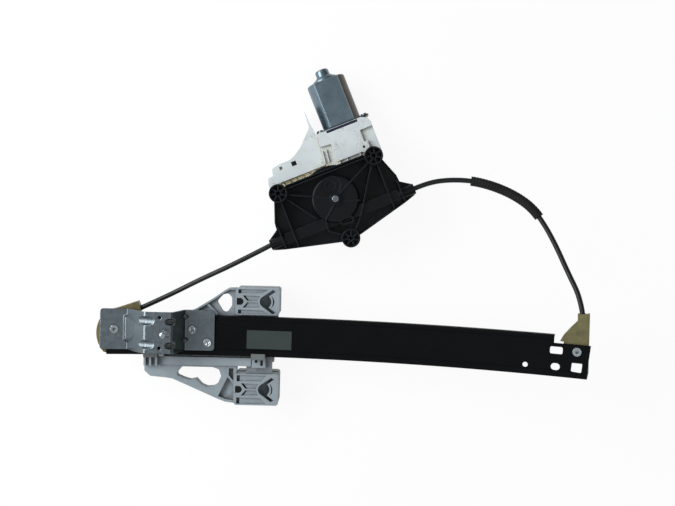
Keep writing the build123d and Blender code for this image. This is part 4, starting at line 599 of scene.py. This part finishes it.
    def rib_ledge(self):
        """Ledge: a bar whose top is a floor with slanting ribs, each a smooth step in the share of its pitch
        that the distance across, sheared by the distance along, has reached."""
        bottom, floor, rib_rise, pitch, shear = 28.0, 29.6, 2.6, 7.0, 0.55
        across = np.linspace(-44.0, 6.0, 260)[:, None]
        along = np.linspace(27.5, 38.0, 24)[None]
        phase = ((across + shear * along) / pitch) % 1.0
        rib = np.clip(1.6 - np.abs(phase - 0.5) * 14.0, 0, 1)
        rib = rib * rib * (3 - 2 * rib)
        top = np.stack(np.broadcast_arrays(across, along, floor + rib_rise * rib), axis=-1)
        foot = np.stack(np.broadcast_arrays(across, along[:, [-1, 0]], bottom), axis=-1)
        loop = np.concatenate([top, foot], axis=1)
        points = PIN + loop[..., :1] * ACROSS + loop[..., 1:2] * ALONG + loop[..., 2:] * UP
        # Cream ribs, with patchy painted shade in the hollows between them
        cream = moulded("greased_polyester", srgb("d6cdae"), 0.4, grain=0.8, cloud=6.0, vary=0.1,
                        soil_shade="8a7b55", reach=2.5, most=0.3)
        ledge = grid_mesh("rib_ledge", points, cream, wrap_v=True, smooth=False, cap=True)
        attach(ledge, "frame")

    def crimp_rivets(self):
        """Rivet: a turned profile whose dished top is pressed into four quarters, so within the rim the
        height gains a share of the absolute cosine of twice the angle."""
        dish = [(0, 2.3), (0.4, 2.32), (0.9, 2.36), (1.4, 2.4), (1.9, 2.45), (2.4, 2.5), (2.8, 2.6)]
        rim = [(3.1, 2.9), (3.3, 3.1), (3.6, 3.2), (3.9, 3.16), (4.15, 3.0), (4.3, 2.7)]
        shank = [(4.3, 1.9), (4.2, 1.7), (2.6, 1.7), (2.6, -1.5)]
        tail = [(3.9, -1.5), (3.9, -2.3), (3.5, -2.6), (0, -2.6)]
        radius, height = np.array(dish + rim + shank + tail).T
        turn = np.linspace(0, 2 * pi, 48, endpoint=False)
        depth = np.interp(radius, [0, 1.6, 2.7, 3.1], [0, 0.6, 0.6, 0])
        depth[len(dish + rim):] = 0
        quarter = depth[:, None] * np.abs(np.cos(2 * turn + 0.5))[None]
        zinc = bpy.data.materials["zinc_rivet"]
        # Where each rivet sits on the rail, which way it points and which way lies along the rail
        places = [((-143.407, -95.408, 44.064), (0.01026, 0, 0.99995), (0.99995, 0.00124, -0.01026)),
                  ((-128.202, -108.1, 44.003), (-0.00232, 0, 1), (1, -0.00028, 0.00232))]
        for number, (spot, up, along) in enumerate(places, 1):
            ring = np.cos(turn)[:, None] * np.array(along) + np.sin(turn)[:, None] * np.cross(up, along)
            points = (np.array(spot) + radius[:, None, None] * ring[None]
                      + (height[:, None] + quarter - 0.1)[..., None] * np.array(up))
            rivet = grid_mesh(f"crimped_rivet_{number}", points[::-1], zinc, wrap_v=True)
            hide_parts("bracket_rivets")
            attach(rivet, "frame")


class REGULATOR_OT_threads(bpy.types.Operator):
    """Cut the stud's thread and the worm"""
    bl_idname = "regulator.threads"
    bl_label = "Threads"

    def execute(self, context):
        sizes = context.scene.regulator_sizes
        bright = bpy.data.materials["bright_zinc"]
        # Stud: its radius is the crest's less the thread's depth times how far the height lies from the helix
        pitch = sizes.stud_pitch / MM
        crest, depth, rows = 3.0, 0.42, 230
        thread_start, thread_end = 2.4, 17.3
        height = np.concatenate(
            [[-1.6, -1.6, -0.2, 0.0, 0.5, 0.8], np.linspace(1.4, 17.4, rows), [18.0, 18.0]])
        plain = np.concatenate([[0.0, 3.6, 3.6, 3.9, 3.7, crest], np.full(rows, crest), [2.4, 0.0]])
        turn = np.linspace(0, 2 * pi, 32, endpoint=False)
        phase = (height[:, None] / pitch - turn[None] / (2 * pi)) % 1.0
        threaded = ((height > thread_start) & (height < thread_end))[:, None]
        radius = plain[:, None] - np.where(threaded, depth * np.abs(2 * phase - 1), 0.0)
        foot = np.array([-164.9, -95.9, 76.6])
        points = np.stack([foot[0] + radius * np.cos(turn), foot[1] + radius * np.sin(turn),
                           foot[2] + height[:, None] + 0 * radius], axis=-1)
        stud = grid_mesh("threaded_stud", points, bright, wrap_v=True)
        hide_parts("bracket_stud")
        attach(stud, "frame")
        # Worm: one start, its crest one pitch further along for each turn, meshing between the wheel's teeth
        # and running out at both ends
        pitch = sizes.worm_pitch / MM
        start, end, root, tooth = -9.0, 20.0, 4.35, 1.5
        along = np.linspace(start, end, 190)
        turn = np.linspace(0, 2 * pi, 28, endpoint=False)
        phase = (along[:, None] / pitch - turn[None] / (2 * pi) + 0.5) % 1.0
        rise = np.clip(2.2 - 6.0 * np.abs(phase - 0.5), 0, 1)
        edge = np.clip((1 - np.abs(along - (start + end) / 2) / ((end - start) / 2)) * 12, 0, 1)[:, None]
        radius = root + tooth * rise * edge
        points = (MOTOR + along[:, None, None] * ALONG
                  - radius[..., None] * np.cos(turn)[None, :, None] * ACROSS
                  + radius[..., None] * np.sin(turn)[None, :, None] * UP)
        worm = grid_mesh("worm_thread", points, bright, wrap_v=True, cap=True)
        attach(worm, "armature")
        return {"FINISHED"}


class REGULATOR_OT_stage(bpy.types.Operator):
    """Set the pale floor, the lights and the camera"""
    bl_idname = "regulator.stage"
    bl_label = "Stage"

    def execute(self, context):
        scene = context.scene
        self.lay_floor()
        self.light_room(scene)
        self.place_camera(scene)
        scene.view_settings.view_transform = "Standard"
        return {"FINISHED"}

    def lay_floor(self):
        """A floor 120 m wide, 0.05 mm under the object, that glows in what is seen and in its mirror images
        on the object, and is plain grey in the light it scatters onto the object."""
        span = np.linspace(-60000.0, 60000.0, 7)
        flat = np.stack(np.meshgrid(span, span, indexing="ij") + [np.full((7, 7), -0.05)], axis=-1)
        material, tree, shader, _ = blank("pale_floor")
        shader.inputs["Base Color"].default_value = (0.86, 0.86, 0.86, 1)
        shader.inputs["Roughness"].default_value = 0.9
        path = add(tree, "ShaderNodeLightPath").outputs
        seen = path["Is Camera Ray"]
        for ray in ("Is Glossy Ray", "Is Transmission Ray"):
            seen = add(tree, "ShaderNodeMath", {0: seen, 1: path[ray]}, operation="MAXIMUM").outputs[0]
        share = add(tree, "ShaderNodeMath", {0: seen}, operation="MULTIPLY")
        share.inputs[1].default_value = 0.92
        glow = add(tree, "ShaderNodeEmission", Color=(1, 1, 1, 1), Strength=1.0)
        mixed = add(tree, "ShaderNodeMixShader",
                    {0: share.outputs[0], 1: shader.outputs[0], 2: glow.outputs[0]})
        tree.links.new(mixed.outputs[0], tree.nodes["Material Output"].inputs["Surface"])
        floor = grid_mesh("floor", flat, material)

    def light_room(self, scene):
        """A room that is bright and cool at the window on the left, dim and warm on the right, with three
        rectangular lamps that face the object."""
        world = bpy.data.worlds.new("studio")
        scene.world = world
        world.use_nodes = True
        room = world.node_tree
        sky = add(room, "ShaderNodeTexCoord").outputs["Generated"]
        way = add(room, "ShaderNodeSeparateXYZ", {"Vector": sky})
        side = ranged(room, way.outputs["X"], -1.0, 1.0)
        tone = shades(room, side, [(0.62, 0.68, 0.72), (0.24, 0.25, 0.26), (0.20, 0.175, 0.15)])
        room.links.new(tone, room.nodes["Background"].inputs["Color"])
        aim = Vector((0, 0, 30)) * MM
        for name, spot, wide, high, power in (
            ("window", (-1000, 300, 870), 1300, 700, 20.0),
            ("ceiling", (300, -200, 1400), 900, 900, 2.0),
            ("front", (-100, -900, 1000), 800, 800, 1.5),
        ):
            lamp = bpy.data.lights.new(name, "AREA")
            lamp.energy = power
            lamp.shape = "RECTANGLE"
            lamp.size = wide * MM
            lamp.size_y = high * MM
            light = bpy.data.objects.new(name, lamp)
            light.location = Vector(spot) * MM
            light.rotation_euler = (aim - light.location).to_track_quat("-Z", "Y").to_euler()
            scene.collection.objects.link(light)

    def place_camera(self, scene):
        """The photo's camera, about a metre over the object and turned a little, as fitted to the photo."""
        lens = bpy.data.cameras.new("photograph")
        lens.lens = 50.0
        lens.sensor_width = 36.0
        camera = bpy.data.objects.new("photograph", lens)
        right = Vector((0.99969, 0.02350, 0.00800))
        upward = Vector((-0.02326, 0.99928, -0.02985))
        back = Vector((-0.00869, 0.02966, 0.99952))
        turned = Matrix((right, upward, back)).transposed().to_4x4()
        turned.translation = Vector((-8.389, 12.407, 981.5)) * MM
        camera.matrix_world = turned
        scene.collection.objects.link(camera)
        scene.camera = camera


class REGULATOR_PT_panel(bpy.types.Panel):
    """Steps and settings in the sidebar"""
    bl_idname = "REGULATOR_PT_panel"
    bl_label = "Regulator"
    bl_space_type = "VIEW_3D"
    bl_region_type = "UI"
    bl_category = "Regulator"

    def draw(self, context):
        for step in STEPS:
            self.layout.operator(step.bl_idname)
        for group in (context.scene.regulator_finish, context.scene.regulator_sizes):
            for name in group.__annotations__:
                self.layout.prop(group, name)


STEPS = [REGULATOR_OT_finishes, REGULATOR_OT_conduits, REGULATOR_OT_bracket, REGULATOR_OT_threads,
         REGULATOR_OT_stage]
CLASSES = [RegulatorFinish, RegulatorSizes, *STEPS, REGULATOR_PT_panel]


def register():
    for item in CLASSES:
        bpy.utils.register_class(item)
    bpy.types.Scene.regulator_finish = bpy.props.PointerProperty(type=RegulatorFinish)
    bpy.types.Scene.regulator_sizes = bpy.props.PointerProperty(type=RegulatorSizes)


def unregister():
    del bpy.types.Scene.regulator_sizes
    del bpy.types.Scene.regulator_finish
    for item in reversed(CLASSES):
        bpy.utils.unregister_class(item)


def main():
    """Registers the add-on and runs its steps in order."""
    register()
    bpy.ops.regulator.finishes()
    bpy.ops.regulator.conduits()
    bpy.ops.regulator.bracket()
    bpy.ops.regulator.threads()
    bpy.ops.regulator.stage()


if __name__ == "__main__":
    main()
